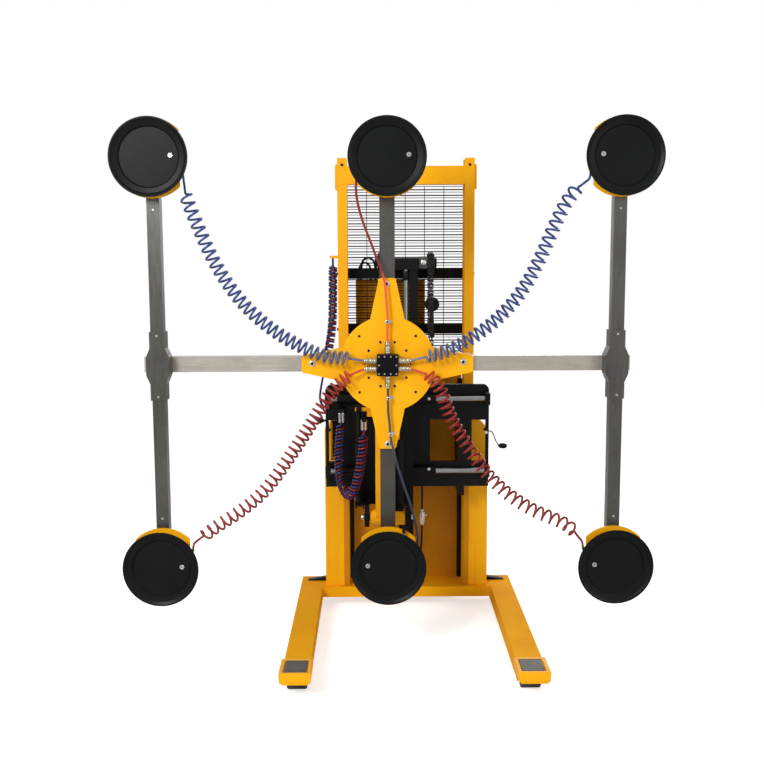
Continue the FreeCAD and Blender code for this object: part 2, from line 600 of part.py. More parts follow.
for side, sign in sides:
    x = "%spitch_across" % sign.replace("+", "")
    cross = square_tube("cross_tube_" + side, "z", "hub_height - pitch_up - 45", "hub_height + pitch_up + 45",
                        "cross_middle", "cross_side", "cross_wall", x)
    sleeve = new_body("sleeve_" + side)
    half, bulge, tall = "sleeve_side / 2", "sleeve_bulge / 2", "sleeve_long / 2"
    pad(sleeve, "XZ_Plane", "cross_middle - sleeve_side / 2", "tube_middle - tube_side / 2", [
        ("%s - %s" % (x, half), "hub_height - %s" % tall), ("%s + %s" % (x, half), "hub_height - %s" % tall),
        ("%s + %s" % (x, half), "hub_height - 70"), ("%s + %s" % (x, bulge), "hub_height - 36"),
        ("%s + %s" % (x, bulge), "hub_height + 36"), ("%s + %s" % (x, half), "hub_height + 70"),
        ("%s + %s" % (x, half), "hub_height + %s" % tall), ("%s - %s" % (x, half), "hub_height + %s" % tall),
        ("%s - %s" % (x, half), "hub_height + 70"), ("%s - %s" % (x, bulge), "hub_height + 36"),
        ("%s - %s" % (x, bulge), "hub_height - 36"), ("%s - %s" % (x, half), "hub_height - 70")])
    within = "cross_side / 2"
    pocket(sleeve, "XY_Plane", "hub_height - sleeve_long", "hub_height + sleeve_long", rectangle(
        ("%s - %s" % (x, within), "%s + %s" % (x, within)),
        ("cross_middle - %s" % within, "cross_middle + %s" % within)))
    node("cross_arm_" + side, join("cross_arm_" + side, [cross, sleeve]))

# Backing plates with two flats and the ball studs that the pads swivel on


def backing(name, x, z, spacer):
    body = new_body(name)
    pad(body, "XZ_Plane", "backing_front", "backing_front + backing_thick", circles=[(x, z, "backing_radius")])
    for low, high in (("backing_flats / 2", "backing_radius + 5"), ("-backing_radius - 5", "-backing_flats / 2")):
        pocket(body, "XZ_Plane", "backing_front", "backing_front + backing_thick", rectangle(
            ("%s + %s" % (x, low), "%s + %s" % (x, high)),
            ("%s - backing_radius" % z, "%s + backing_radius" % z)))
    stud = rod(name + "_stud", "y", x, z, 5.5, "ball_middle", "backing_front + 1")
    ball = doc.addObject("Part::Sphere", name + "_ball")
    ball.setExpression("Radius", bind("ball_radius"))
    place(ball, x, "ball_middle", z)
    pieces = [body, stud, ball]
    if spacer:
        pieces.append(box(name + "_spacer", ("%s - 30" % x, "%s + 30" % x),
                          ("backing_front + backing_thick - 1", "tube_middle - tube_side / 2"),
                          ("%s - 40" % z, "%s + 40" % z)))
    return pieces


high_z, low_z = "hub_height + pitch_up", "hub_height - pitch_up"
node("backing_left", join("backing_left", backing("plate_tl", "-pitch_across", high_z, False)
                          + backing("plate_bl", "-pitch_across", low_z, False)))
node("backing_right", join("backing_right", backing("plate_tr", "pitch_across", high_z, False)
                           + backing("plate_br", "pitch_across", low_z, False)))
node("backing_top", join("backing_top", backing("plate_tm", 0, high_z, True)))
node("backing_bottom", join("backing_bottom", backing("plate_bm", 0, low_z, True)))

# Vacuum pads: a moulded cup with a flared lip, a stepped face and a seat for the ball

lip = "pad_radius"
for name, x, z, port_x, port_z in (
        ("top_left", "-pitch_across", high_z, 118, -60), ("top_middle", "0", high_z, -118, -60),
        ("top_right", "pitch_across", high_z, -118, -60), ("bottom_left", "-pitch_across", low_z, 118, 60),
        ("bottom_middle", "0", low_z, 118, 60), ("bottom_right", "pitch_across", low_z, -118, 60)):
    cup = turned("cup_" + name, "y", [
        (0, 0), (0, "%s - 22" % lip), (-8, "%s - 14" % lip), (-22, "%s - 16" % lip), (-40, "%s - 3" % lip),
        ("lip_plane - pad_back", lip), ("lip_plane - pad_back", "%s - 5" % lip), (-41, "%s - 16" % lip),
        (-37, "%s - 34" % lip), (-31, "%s - 39" % lip), (-31, 0)])
    place(cup, x, "pad_back", z)
    seat = doc.addObject("Part::Sphere", "seat_" + name)
    seat.setExpression("Radius", bind("ball_radius + 0.1"))
    place(seat, x, "ball_middle", z)
    mouth = doc.addObject("Part::Cone", "mouth_" + name)
    mouth.Radius1 = 6.2
    mouth.Radius2 = 10
    mouth.setExpression("Height", bind("pad_back - ball_middle + 2"))
    mouth.Placement = Placement(Vector(), Rotation(Vector(1, 0, 0), -90))
    place(mouth, x, "ball_middle", z)
    spigot = rod("spigot_" + name, "y", "%s + %d" % (x, port_x), "%s + %d" % (z, port_z), 7, "pad_back - 10", "pad_back + 14")
    node("pad_" + name, cut("pad_" + name, join("moulding_" + name, [cup, spigot]), join("socket_" + name, [seat, mouth])))

# Hood over the battery and pump, the vacuum cabinet on it and the emergency stop

hood = new_body("power_hood")
pad(hood, "YZ_Plane", "mast_x - hood_half", "mast_x + hood_half", [
    ("hood_front", "mast_foot"), ("hood_front", "hood_top"), (470, "hood_top"), ("hood_rear - 40", 930),
    ("hood_rear", 860), ("hood_rear", 301), ("hood_rear - 61", 301), ("hood_rear - 61", "mast_foot")])
rounded(hood, 22, lambda e: along(e, X) and e.Vertexes[0].Z > 800)
node("power_hood", hood)

cabinet = new_body("vacuum_cabinet")
pad(cabinet, "XY_Plane", "hood_top", "cabinet_top", rectangle(("cabinet_left", "cabinet_right"), (290, 470)))
rounded(cabinet, 8, lambda e: along(e, Z))
pocket(cabinet, "XZ_Plane", 466, 470, rectangle(("cabinet_left + 18", "cabinet_right - 18"), ("hood_top + 20", "cabinet_top - 20")))
node("vacuum_cabinet", cabinet)

stop = turned("stop_turned", "y", [(-40, 0), (-40, 7.9), (-14, 7.9), (-14, 9), (-11, 18), (-3, 18), (0, 13), (0, 0)])
stop.Placement = Placement(Vector(), Rotation(Vector(1, 0, 0), 90))
place(stop, "mast_x + 190", 380, "hood_top + 24")
node("emergency_stop", stop)
nodes["power_hood"].Label = "power_hood_blank"
stop_well = rod("stop_well", "z", "mast_x + 190", 380, 8, "hood_top - 30", "hood_top + 5")
node("power_hood", cut("power_hood_cut", nodes["power_hood"], stop_well))

# Drive: a steered motor and gearbox on a bearing, its wheel, and the folding tiller

drive_parts = [
    rod("steer_journal", "z", "drive_x", "drive_y", 60, 255, 306),
    rod("steer_flange", "z", "drive_x", "drive_y", 80, 300.3, 316),
    rod("drive_motor", "z", "drive_x", "drive_y", 72, 316, 520),
    rod("motor_cap", "z", "drive_x", "drive_y", 60, 520, 560),
    rod("steer_neck", "z", "drive_x", "drive_y", 52, 238, 256),
    box("gearbox", ("drive_x - 92", "drive_x - 46"), ("drive_y - 55", "drive_y + 55"), (70, 240)),
    box("gearbox_top", ("drive_x - 92", "drive_x + 40"), ("drive_y - 48", "drive_y + 48"), (236, 250)),
    rod("drive_axle", "x", "drive_y", "drive_radius", 16, "drive_x - 50", "drive_x + 42"),
    box("tiller_post", ("drive_x - 34", "drive_x + 34"), ("drive_y - 20", "tiller_y + 20"), (556, 590)),
    box("tiller_ear_a", ("drive_x - 34", "drive_x - 24"), ("tiller_y - 22", "tiller_y + 20"), (586, "tiller_z + 20")),
    box("tiller_ear_b", ("drive_x + 24", "drive_x + 34"), ("tiller_y - 22", "tiller_y + 20"), (586, "tiller_z + 20")),
    rod("tiller_pin", "x", "tiller_y", "tiller_z", 9, "drive_x - 34", "drive_x + 34")]
node("drive_unit", join("drive_unit", drive_parts))

tread = turned("drive_wheel", "x", [
    (-30, "16 + 0.05"), (30, "16 + 0.05"), (30, 40), (22, 46), (22, 84), ("drive_wide / 2", 90),
    ("drive_wide / 2", "drive_radius - 5"), ("drive_wide / 2 - 5", "drive_radius"),
    ("5 - drive_wide / 2", "drive_radius"), ("-drive_wide / 2", "drive_radius - 5"),
    ("-drive_wide / 2", 90), (-22, 84), (-22, 46), (-30, 40)])
node("drive_wheel", place(tread, "drive_x", "drive_y", "drive_radius"))

stalk = new_body("tiller_stalk")
pad(stalk, "YZ_Plane", "drive_x - 20", "drive_x + 20", [
    ("tiller_y - 18", "tiller_z - 20"), ("tiller_y + 18", "tiller_z - 20"), ("tiller_y + 20", "tiller_z + 40"),
    ("tiller_back - 22", 1100), ("tiller_back", 1140), ("tiller_back", 1225), ("tiller_back - 14", 1240),
    ("tiller_back - 56", 1240), ("tiller_back - 66", 1100), ("tiller_y - 18", "tiller_z + 50")])
tiller_head = new_body("tiller_head")
pad(tiller_head, "XZ_Plane", "tiller_back - 62", "tiller_back", [
    ("drive_x - 55", 1130), ("drive_x + 55", 1130), ("drive_x + 62", 1215), ("drive_x + 40", 1242),
    ("drive_x - 40", 1242), ("drive_x - 62", 1215)])
rounded(tiller_head, 10, lambda e: along(e, Y))
grips = []
for sign in ("-", "+"):
    tip, near = "drive_x %s 165" % sign, "drive_x %s 30" % sign
    low, high = (tip, near) if sign == "-" else (near, tip)
    for name, z in (("low", 1146), ("high", 1222)):
        grips.append(rod("grip_%s%s" % (name, "l" if sign == "-" else "r"), "x", "tiller_back - 31", z, 13, low, high))
    grips.append(rod("grip_end" + ("l" if sign == "-" else "r"), "z", tip, "tiller_back - 31", 13, 1133, 1235))
tiller_hole = rod("tiller_hole", "x", "tiller_y", "tiller_z", "9 + 0.05", "drive_x - 30", "drive_x + 30")
throttle_hole = rod("throttle_hole", "x", "tiller_back - 31", 1184, "8 + 0.1", "drive_x - 80", "drive_x + 80")
node("tiller_arm", cut("tiller_arm", join("tiller_blank", [stalk, tiller_head] + grips),
                       join("tiller_holes", [tiller_hole, throttle_hole])))
thumbs = [rod("throttle_bar", "x", "tiller_back - 31", 1184, 8, "drive_x - 100", "drive_x + 100")]
for sign in ("-", "+"):
    far, near = "drive_x %s 104" % sign, "drive_x %s 70" % sign
    low, high = (far, near) if sign == "-" else (near, far)
    thumbs.append(box("thumb" + ("l" if sign == "-" else "r"), (low, high), ("tiller_back - 40", "tiller_back - 22"), (1166, 1202)))
node("throttle", join("throttle", thumbs))

# Castor beside the drive wheel

trail = "castor_y + 32"
fork_parts = [
    rod("castor_stem", "z", "castor_x", "castor_y", 12, 160, 210),
    rod("castor_race", "z", "castor_x", "castor_y", 34, 160, 183.7),
    box("castor_crown", ("castor_x - 34", "castor_x + 34"), ("castor_y - 30", "castor_y + 50"), (142, 161)),
    box("castor_cheek_a", ("castor_x - 34", "castor_x - 27"), ("castor_y - 6", "castor_y + 50"), (46, 143)),
    box("castor_cheek_b", ("castor_x + 27", "castor_x + 34"), ("castor_y - 6", "castor_y + 50"), (46, 143)),
    rod("castor_axle", "x", trail, "castor_radius", 8, "castor_x - 38", "castor_x + 38")]
node("castor_fork", join("castor_fork", fork_parts))
nodes["base_frame"].Label = "base_frame_blank_b"
castor_hole = rod("castor_hole", "z", "castor_x", "castor_y", "12 + 0.05", 180, 215)
node("base_frame", cut("base_frame_whole", nodes["base_frame"], castor_hole))
tyre = turned("castor_wheel", "x", [
    (-22, "8 + 0.05"), (22, "8 + 0.05"), (22, 20), (17, 24), (17, 44), (22, 50), (22, "castor_radius - 4"),
    (18, "castor_radius"), (-18, "castor_radius"), (-22, "castor_radius - 4"), (-22, 50), (-17, 44), (-17, 24), (-22, 20)])
node("castor_wheel", place(tyre, "castor_x", trail, "castor_radius"))

# Hoses. Every route is a list of points; a curled hose has its curls on a smooth line through
# them, and each tube follows arcs that keep its direction from one to the next.

hose_radius = cells["hose"] / 2
curl_radius = cells["curl_outer"] / 2 - hose_radius


def smooth(points, steps=24):
    """Points of a centripetal spline through the route, close together."""
    whole = [points[0] * 2 - points[1]] + points + [points[-1] * 2 - points[-2]]
    line = []
    for i in range(1, len(whole) - 2):
        p0, p1, p2, p3 = whole[i - 1:i + 3]
        t0, t1 = 0.0, math.sqrt((p1 - p0).Length)
        t2 = t1 + math.sqrt((p2 - p1).Length)
        t3 = t2 + math.sqrt((p3 - p2).Length)
        for j in range(steps):
            t = t1 + (t2 - t1) * j / steps
            a1 = p0 * ((t1 - t) / (t1 - t0)) + p1 * ((t - t0) / (t1 - t0))
            a2 = p1 * ((t2 - t) / (t2 - t1)) + p2 * ((t - t1) / (t2 - t1))
            a3 = p2 * ((t3 - t) / (t3 - t2)) + p3 * ((t - t2) / (t3 - t2))
            b1 = a1 * ((t2 - t) / (t2 - t0)) + a2 * ((t - t0) / (t2 - t0))
            b2 = a2 * ((t3 - t) / (t3 - t1)) + a3 * ((t - t1) / (t3 - t1))
            line.append(b1 * ((t2 - t) / (t2 - t1)) + b2 * ((t - t1) / (t2 - t1)))
    line.append(points[-1])
    return line


def lengths(line):
    total = [0.0]
    for a, b in zip(line, line[1:]):
        total.append(total[-1] + (b - a).Length)
    return total


def frames(line):
    """Tangents and a side direction that doesn't twist about the line."""
    tangents = []
    for i in range(len(line)):
        run = line[min(i + 1, len(line) - 1)] - line[max(i - 1, 0)]
        tangents.append(run.normalize())
    side = tangents[0].cross(Y).normalize()
    out = [side]
    for t in tangents[1:]:
        side = (side - t * side.dot(t)).normalize()
        out.append(side)
    return tangents, out


def curl(line, radius, turns, start=0.0, steps=4):
    """Places and directions of a helix round the line, steps to each turn."""
    total = lengths(line)
    tangents, across_line = frames(line)
    found = []

    def helix(s, turn):
        i = min(max(j for j in range(len(total)) if total[j] <= s + 1e-9), len(line) - 2)
        k = (s - total[i]) / (total[i + 1] - total[i])
        middle = line[i] * (1 - k) + line[i + 1] * k
        t = (tangents[i] * (1 - k) + tangents[i + 1] * k).normalize()
        n = across_line[i] * (1 - k) + across_line[i + 1] * k
        n = (n - t * n.dot(t)).normalize()
        b = t.cross(n)
        angle = 2 * math.pi * turn + start
        return middle + n * (radius * math.cos(angle)) + b * (radius * math.sin(angle))

    count = int(turns * steps)
    for q in range(count + 1):
        turn = q / steps
        s = total[-1] * turn / turns
        small = 0.002
        a = helix(max(s - small * total[-1] / turns, 0), turn - (small if s > 0 else 0))
        b = helix(min(s + small * total[-1] / turns, total[-1]), turn + (small if q < count else 0))
        found.append((helix(s, turn), (b - a).normalize()))
    return found


def arc_edge(a, b, corner):
    """The arc from a to b whose end tangents meet at the corner, or a line where it is straight."""
    chord = b - a
    middle = (a + b) * 0.5
    rise = corner - middle
    if rise.Length < 1e-4 * chord.Length:
        return Part.LineSegment(a, b).toShape()
    slope = math.atan2(rise.Length, chord.Length / 2)
    return Part.Arc(a, middle + rise * (math.tan(slope / 2) / math.tan(slope)), b).toShape()


def biarcs(stations):
    """Edges through places with directions, two arcs between each pair."""
    edges = []
    for (p0, t0), (p1, t1) in zip(stations, stations[1:]):
        v = p1 - p0
        both = t0 + t1
        bend = 2 * (1 - t0.dot(t1))
        lean_along = v.dot(both)
        if bend < 1e-9:
            d = v.dot(v) / (2 * lean_along)
        else:
            d = (-lean_along + math.sqrt(lean_along ** 2 + bend * v.dot(v))) / bend
        q0, q1 = p0 + t0 * d, p1 - t1 * d
        middle = (q0 + q1) * 0.5
        edges.append(arc_edge(p0, middle, q0))
        edges.append(arc_edge(middle, p1, q1))
    return edges


def tube(name, edges, radius, ring=None):
    """One unbroken tube along the edges, with its volume and its least gap to itself printed."""
    wire = Part.Wire(edges)
    start = edges[0].valueAt(edges[0].FirstParameter)
    way = edges[0].tangentAt(edges[0].FirstParameter)
    section = Part.Wire(Part.makeCircle(radius, start, way))
    shape = wire.makePipeShell([section], True, False)
    if shape.Volume < 0:
        shape.reverse()
    expected = math.pi * radius ** 2 * wire.Length
    tight = min([e.Curve.Radius for e in edges if hasattr(e.Curve, "Radius")] or [0])
    print("%s: length %.0f, volume ratio %.3f, least bend radius %.1f" % (
        name, wire.Length, shape.Volume / expected, tight))
    if ring:
        marks = [m for e in edges for m in e.discretize(5)[:-1]]
        along_tube = lengths(marks)
        least = 1e9
        for i in range(len(marks)):
            for j in range(i + 1, len(marks)):
                if along_tube[j] - along_tube[i] > ring:
                    least = min(least, (marks[j] - marks[i]).Length)
        print("   least gap to itself %.1f" % (least - 2 * radius))
    piece = doc.addObject("Part::Feature", name)
    piece.Shape = shape
    node(name, piece)
    return piece


def spot(values):
    return Vector(*values)


def curled(name, lead, route, tail, turns, radius, outer, start):
    """A straight lead, curls on the route's smooth line, and a tail to the far fitting."""
    curls = curl(smooth([spot(p) for p in route]), outer, turns, start)
    stations = [(spot(p), spot(t).normalize()) for p, t in lead] + curls
    stations += [(spot(p), spot(t).normalize()) for p, t in tail]
    return tube(name, biarcs(stations), radius, math.pi * outer)


plane_y = cells["hose_plane"]
hub = cells["hub_height"]
port = cells["plate_front"] - 24
routes = {
    "blue_coil_left": [(-165, 1226), (-245, 1229), (-343, 1271), (-459, 1341), (-574, 1448), (-669, 1594),
                       (-735, 1753), (-772, 1850)],
    "blue_coil_right": [(158, 1229), (242, 1251), (339, 1306), (435, 1377), (529, 1486), (603, 1629),
                        (657, 1765), (712, 1862)],
    "red_coil_left": [(-150, 1160), (-226, 1091), (-305, 960), (-384, 839), (-484, 698), (-583, 616),
                      (-672, 560), (-722, 526)],
    "red_coil_right": [(160, 1160), (205, 1111), (246, 982), (306, 883), (388, 763), (469, 682), (570, 613),
                       (670, 573), (725, 545)]}
for name, route in routes.items():
    side = -1 if "left" in name else 1
    up = 1 if "blue" in name else -1
    z_port = hub + 15 * up
    z_far = hub + up * cells["pitch_up"] - 60 * up
    x_far = side * (cells["pitch_across"] - 118)
    lead = [((side * 76, port, z_port), (side, 0, 0)), ((side * 84, port, z_port), (side, 0, 0))]
    tail = [((x_far, cells["pad_back"] + 36, z_far - 22 * up), (0, -0.25, up)),
            ((x_far, cells["pad_back"] + 22, z_far), (0, -1, 0)),
            ((x_far, cells["pad_back"] + 14, z_far), (0, -1, 0))]
    curled(name, lead, [(x, plane_y, z) for x, z in route], tail, 17, hose_radius, curl_radius, math.pi / 2)


def bent(name, points, radius):
    """A plain tube: straight runs joined by arcs as large as the runs allow."""
    places = [spot(p) for p in points]
    edges, radii = [], []
    at = places[0]
    for i in range(1, len(places) - 1):
        before, after = places[i] - places[i - 1], places[i + 1] - places[i]
        turn = before.getAngle(after)
        setback = 0.45 * min(before.Length, after.Length)
        radii.append(setback / math.tan(turn / 2))
        a = places[i] - Vector(before).normalize() * setback
        b = places[i] + Vector(after).normalize() * setback
        edges.append(Part.LineSegment(at, a).toShape())
        edges.append(arc_edge(a, b, places[i]))
        at = b
    edges.append(Part.LineSegment(at, places[-1]).toShape())
    print("%s: bend radii %s" % (name, " ".join("%.0f" % r for r in radii)))
    return tube(name, edges, radius)


bent("top_hose", [
    (0, port, hub + 76), (-1, port, 1330), (1, port - 2, 1395), (-5, port - 2, 1455), (-8, port, 1515),
    (-24, port + 1, 1570), (-46, port + 2, 1625), (-66, port + 2, 1680), (-88, port + 1, 1735),
    (-106, port, 1790), (-118, port, 1845), (-121, port, 1892), (-118, port, 1918.4),
    (-118, port - 6.4, 1929.6), (-118, port - 17.6, 1936), (-118, port - 25, 1936)], hose_radius)
bent("lower_hose", [
    (0, port, hub - 76), (2, port, 1062), (1, port + 2, 1008), (8, port + 3, 955), (10, port + 2, 900),
    (24, port + 1, 850), (34, port, 800), (50, port - 1, 750), (66, port, 700), (84, port + 1, 650),
    (98, port, 600), (112, port, 550), (120, port, 500), (118, port, 472.6),
    (118, port - 6.4, 461.4), (118, port - 17.6, 455), (118, port - 25, 455)], hose_radius)

# The mast's feed hose down to the carriage, and the hanging loop from carriage to head

feed_line = [(-238, 178, 1560), (-239, 178, 1480), (-240, 176, 1390), (-243, 164, 1300), (-254, 128, 1220)]
feed_lead = [((-238, 178, 1610), (0, 0, -1)), ((-238, 178, 1602), (0, 0, -1))]
feed_tail = [((-288, 44, 1060), (-0.1, -0.53, -0.84)), ((-300, -2, 978), (0.5, -0.2, -0.8)),
             ((-279, -15, 960), (1, 0, 0)), ((-269, -15, 960), (1, 0, 0))]
curled("feed_coil", feed_lead, feed_line, feed_tail, 8, 4, 15, 0.0)
loop_line = [(-200, -102, 880), (-208, -116, 800), (-208, -140, 710), (-196, -170, 640), (-166, -212, 600),
             (-138, -252, 640), (-118, -274, 720), (-104, -286, 800), (-98, -292, 870)]
loop_lead = [((-196, -100, 950), (0, 0, -1)), ((-196, -100, 942), (0, 0, -1))]
loop_tail = [((-96, -292, 932), (0, 0, 1)), ((-96, -292, 940), (0, 0, 1))]
curled("loop_coil", loop_lead, loop_line, loop_tail, 12, 4, 15, 0.0)

bent("side_cable", [(451, -15, 850), (459, -15, 850), (468, -15, 845), (474, -15, 832), (482, -15, 808),
                    (490, -15, 794), (497, -15, 786.5), (503, -15, 784), (510, -15, 784)], 2.5)
plug = new_body("cable_plug")
pad(plug, "YZ_Plane", 510, 532, [(-22, 775), (-7, 775), (-7, 791), (-22, 791)])
rounded(plug, 3, lambda e: along(e, X))
node("cable_plug", plug)

# Checks and files

doc.recompute()
faults = []
for item in doc.Objects:
    if any(word in str(item.State) for word in ("Invalid", "Error")):
        faults.append("%s is %s" % (item.Name, item.State))
for feature, body in pockets:
    if feature.Shape.Volume > feature.BaseFeature.Shape.Volume - 1:
        faults.append("%s cuts nothing" % feature.Name)
for name, piece in nodes.items():
    if piece.Shape.isNull() or not piece.Shape.isValid():
        faults.append("%s has no valid shape" % name)
    elif piece.Label != name:
        faults.append("%s is labelled %s" % (name, piece.Label))
if faults:
    raise RuntimeError("\n".join(faults))

os.makedirs("parts", exist_ok=True)
for name, piece in nodes.items():
    piece.Shape.exportStep("parts/%s.step" % name)
print("%d parts written" % len(nodes))
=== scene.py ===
# %% [markdown]
# # A vacuum lifter for glass panels
# A yellow mast truck carries a cross shaped head with six black suction pads. This lesson dresses the
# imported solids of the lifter: hoses first, then chains, wires, screws and fittings, and last the finishes.
# Everything is in metres, in the frame of the solids: x across, y towards the back, z up.

# %% Load the solids
import bpy
import math
from mathutils import Matrix, Vector


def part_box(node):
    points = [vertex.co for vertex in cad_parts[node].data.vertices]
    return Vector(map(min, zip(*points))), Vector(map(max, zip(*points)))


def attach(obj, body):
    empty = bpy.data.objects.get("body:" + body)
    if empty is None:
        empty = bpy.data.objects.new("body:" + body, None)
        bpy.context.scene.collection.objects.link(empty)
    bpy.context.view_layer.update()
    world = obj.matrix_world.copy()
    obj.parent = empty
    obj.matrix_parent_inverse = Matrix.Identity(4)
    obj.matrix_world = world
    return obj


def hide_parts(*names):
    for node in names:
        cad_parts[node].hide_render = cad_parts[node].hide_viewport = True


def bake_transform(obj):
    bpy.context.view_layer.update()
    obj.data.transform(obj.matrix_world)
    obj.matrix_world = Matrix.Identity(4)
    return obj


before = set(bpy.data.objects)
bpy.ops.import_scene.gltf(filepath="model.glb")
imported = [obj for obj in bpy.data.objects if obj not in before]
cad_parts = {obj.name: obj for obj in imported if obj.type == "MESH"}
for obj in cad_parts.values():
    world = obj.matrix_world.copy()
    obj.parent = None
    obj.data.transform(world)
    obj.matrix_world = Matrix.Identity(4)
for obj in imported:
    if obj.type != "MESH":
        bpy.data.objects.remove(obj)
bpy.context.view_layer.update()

# %% [markdown]
# ## Camera
# The photograph was taken from about 3.9 m in front of the pads, at 1.63 m, looking down by 7 degrees.
# The camera's three axes are written out from those angles, so nothing has to be aimed by eye.

# %% Place the camera
tip_down, turn, lean = 0.124301, 0.006214, -0.004
right = Vector((math.cos(turn), -math.sin(turn), 0))
level, down = math.cos(tip_down), math.sin(tip_down)
ahead = Vector((level * math.sin(turn), level * math.cos(turn), -down))
above = Vector((down * math.sin(turn), down * math.cos(turn), level))
across = math.cos(lean) * right + math.sin(lean) * above
upward = -math.sin(lean) * right + math.cos(lean) * above
lens = bpy.data.cameras.new("camera")
lens.sensor_fit = "HORIZONTAL"
frame_pixels, focal_pixels, film_width = 764, 1024.0039, 36
lens.sensor_width = film_width
lens.lens = focal_pixels / frame_pixels * film_width
lens.clip_end = 60
camera = bpy.data.objects.new("camera", lens)
bpy.context.scene.collection.objects.link(camera)
place = Matrix((across, upward, -ahead)).transposed().to_4x4()
place.translation = (-0.04725, -4.480934, 1.628281)
camera.matrix_world = place
bpy.context.scene.camera = camera
print("camera at", [round(v, 3) for v in place.translation])

# %% [markdown]
# ## Small helpers
# Operators act on whatever is selected, so each step starts from nothing selected. A piece is finished by
# moving its place into its mesh, naming it, giving it a finish and saying which body carries it.

# %% Helpers for selecting and for finishing a piece
finishes = {}


def nothing_selected():
    if bpy.context.mode != "OBJECT":
        bpy.ops.object.mode_set(mode="OBJECT")
    bpy.ops.object.select_all(action="DESELECT")


def work_on(piece):
    nothing_selected()
    piece.select_set(True)
    bpy.context.view_layer.objects.active = piece


def pick(piece, test, kind="FACE"):
    """Leaves the piece in edit mode with only the faces, edges or points selected that pass the test."""
    work_on(piece)
    bpy.ops.object.mode_set(mode="EDIT")
    bpy.ops.mesh.select_mode(type=kind)
    bpy.ops.mesh.select_all(action="DESELECT")
    bpy.ops.object.mode_set(mode="OBJECT")
    mesh = piece.data
    if kind == "FACE":
        for face in mesh.polygons:
            face.select = bool(test(face.center, face.normal))
    elif kind == "EDGE":
        for edge in mesh.edges:
            first, last = (mesh.vertices[i].co for i in edge.vertices)
            edge.select = bool(test(first, last))
    else:
        for point in mesh.vertices:
            point.select = bool(test(point.co))
    bpy.ops.object.mode_set(mode="EDIT")


def soften(piece, width, steps=2, angle=40):
    """Rounds the sharp edges with an applied bevel and shades the piece smooth by angle."""
    work_on(piece)
    bevel = piece.modifiers.new("edges", "BEVEL")
    bevel.width, bevel.segments = width, steps
    bevel.limit_method, bevel.angle_limit = "ANGLE", math.radians(angle)
    bpy.ops.object.modifier_apply(modifier=bevel.name)
    bpy.ops.object.shade_smooth_by_angle(angle=math.radians(38))
    return piece


def pushed(x, y, z):
    """Pulls new sides out of the selected faces and moves the faces by x, y and z."""
    bpy.ops.mesh.extrude_region_move(TRANSFORM_OT_translate={"value": (x, y, z)})


def drawn_in(thickness):
    bpy.ops.mesh.inset(thickness=thickness)


def done():
    bpy.ops.object.mode_set(mode="OBJECT")


def hand_over(piece, name, body, finish):
    """The place goes into the mesh, and the piece gets its name, finish and body."""
    work_on(piece)
    bpy.ops.object.transform_apply(location=True, rotation=True, scale=True)
    piece.name = piece.data.name = name
    piece.data.materials.clear()
    piece.data.materials.append(finishes[finish])
    if body:
        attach(piece, body)
    return piece


def block(size, at):
    nothing_selected()
    bpy.ops.mesh.primitive_cube_add(size=1, location=at)
    piece = bpy.context.active_object
    piece.scale = size
    bpy.ops.object.transform_apply(location=True, rotation=True, scale=True)
    return piece


def round_bar(radius, length, at, axis, sides=24):
    """A cylinder whose length lies along axis."""
    nothing_selected()
    bpy.ops.mesh.primitive_cylinder_add(vertices=sides, radius=radius, depth=length, location=at)
    piece = bpy.context.active_object
    piece.rotation_mode = "QUATERNION"
    piece.rotation_quaternion = Vector((0, 0, 1)).rotation_difference(Vector(axis))
    bpy.ops.object.transform_apply(location=True, rotation=True, scale=True)
    return piece


def same_again(model, at, axis=(0, 0, 1), roll=0.0):
    """A copy with its own mesh. The model stands at the origin along z."""
    copy = model.copy()
    copy.data = model.data.copy()
    bpy.context.scene.collection.objects.link(copy)
    turn_to = Vector((0, 0, 1)).rotation_difference(Vector(axis)).to_matrix().to_4x4()
    copy.data.transform(Matrix.Translation(at) @ turn_to @ Matrix.Rotation(roll, 4, "Z"))
    return copy


def one_piece(parts):
    nothing_selected()
    for part in parts:
        part.select_set(True)
    bpy.context.view_layer.objects.active = parts[0]
    bpy.ops.object.join()
    return bpy.context.view_layer.objects.active


def thrown_away(model):
    bpy.data.objects.remove(model)


# %% [markdown]
# ## Effects that several finishes share
# Paint, rubber and steel are never one even colour. Three node groups give what they share: clouds of a
# second tone, a fine grain as a bump, and a mask of the worn edges. Each is built once, with named sockets.

# %% Build the shared effects
def linear(red, green, blue):
    """A colour as it is read off a screen, 0 to 255, as the shader wants it."""
    light = [((c / 255 + 0.055) / 1.055) ** 2.4 if c > 10 else c / 3294 for c in (red, green, blue)]
    return tuple(light) + (1.0,)


def effect(name, inputs, outputs):
    tree = bpy.data.node_groups.new(name, "ShaderNodeTree")
    for label, kind, value in inputs:
        socket = tree.interface.new_socket(label, in_out="INPUT", socket_type=kind)
        socket.default_value = value
    for label, kind in outputs:
        tree.interface.new_socket(label, in_out="OUTPUT", socket_type=kind)
    return tree, tree.nodes.new("NodeGroupInput"), tree.nodes.new("NodeGroupOutput")


def add(tree, kind, **settings):
    node = tree.nodes.new(kind)
    for key, value in settings.items():
        setattr(node, key, value)
    return node


def wire_up(tree, pairs):
    for source, target in pairs:
        tree.links.new(source, target)


number, tint, arrow = "NodeSocketFloat", "NodeSocketColor", "NodeSocketVector"

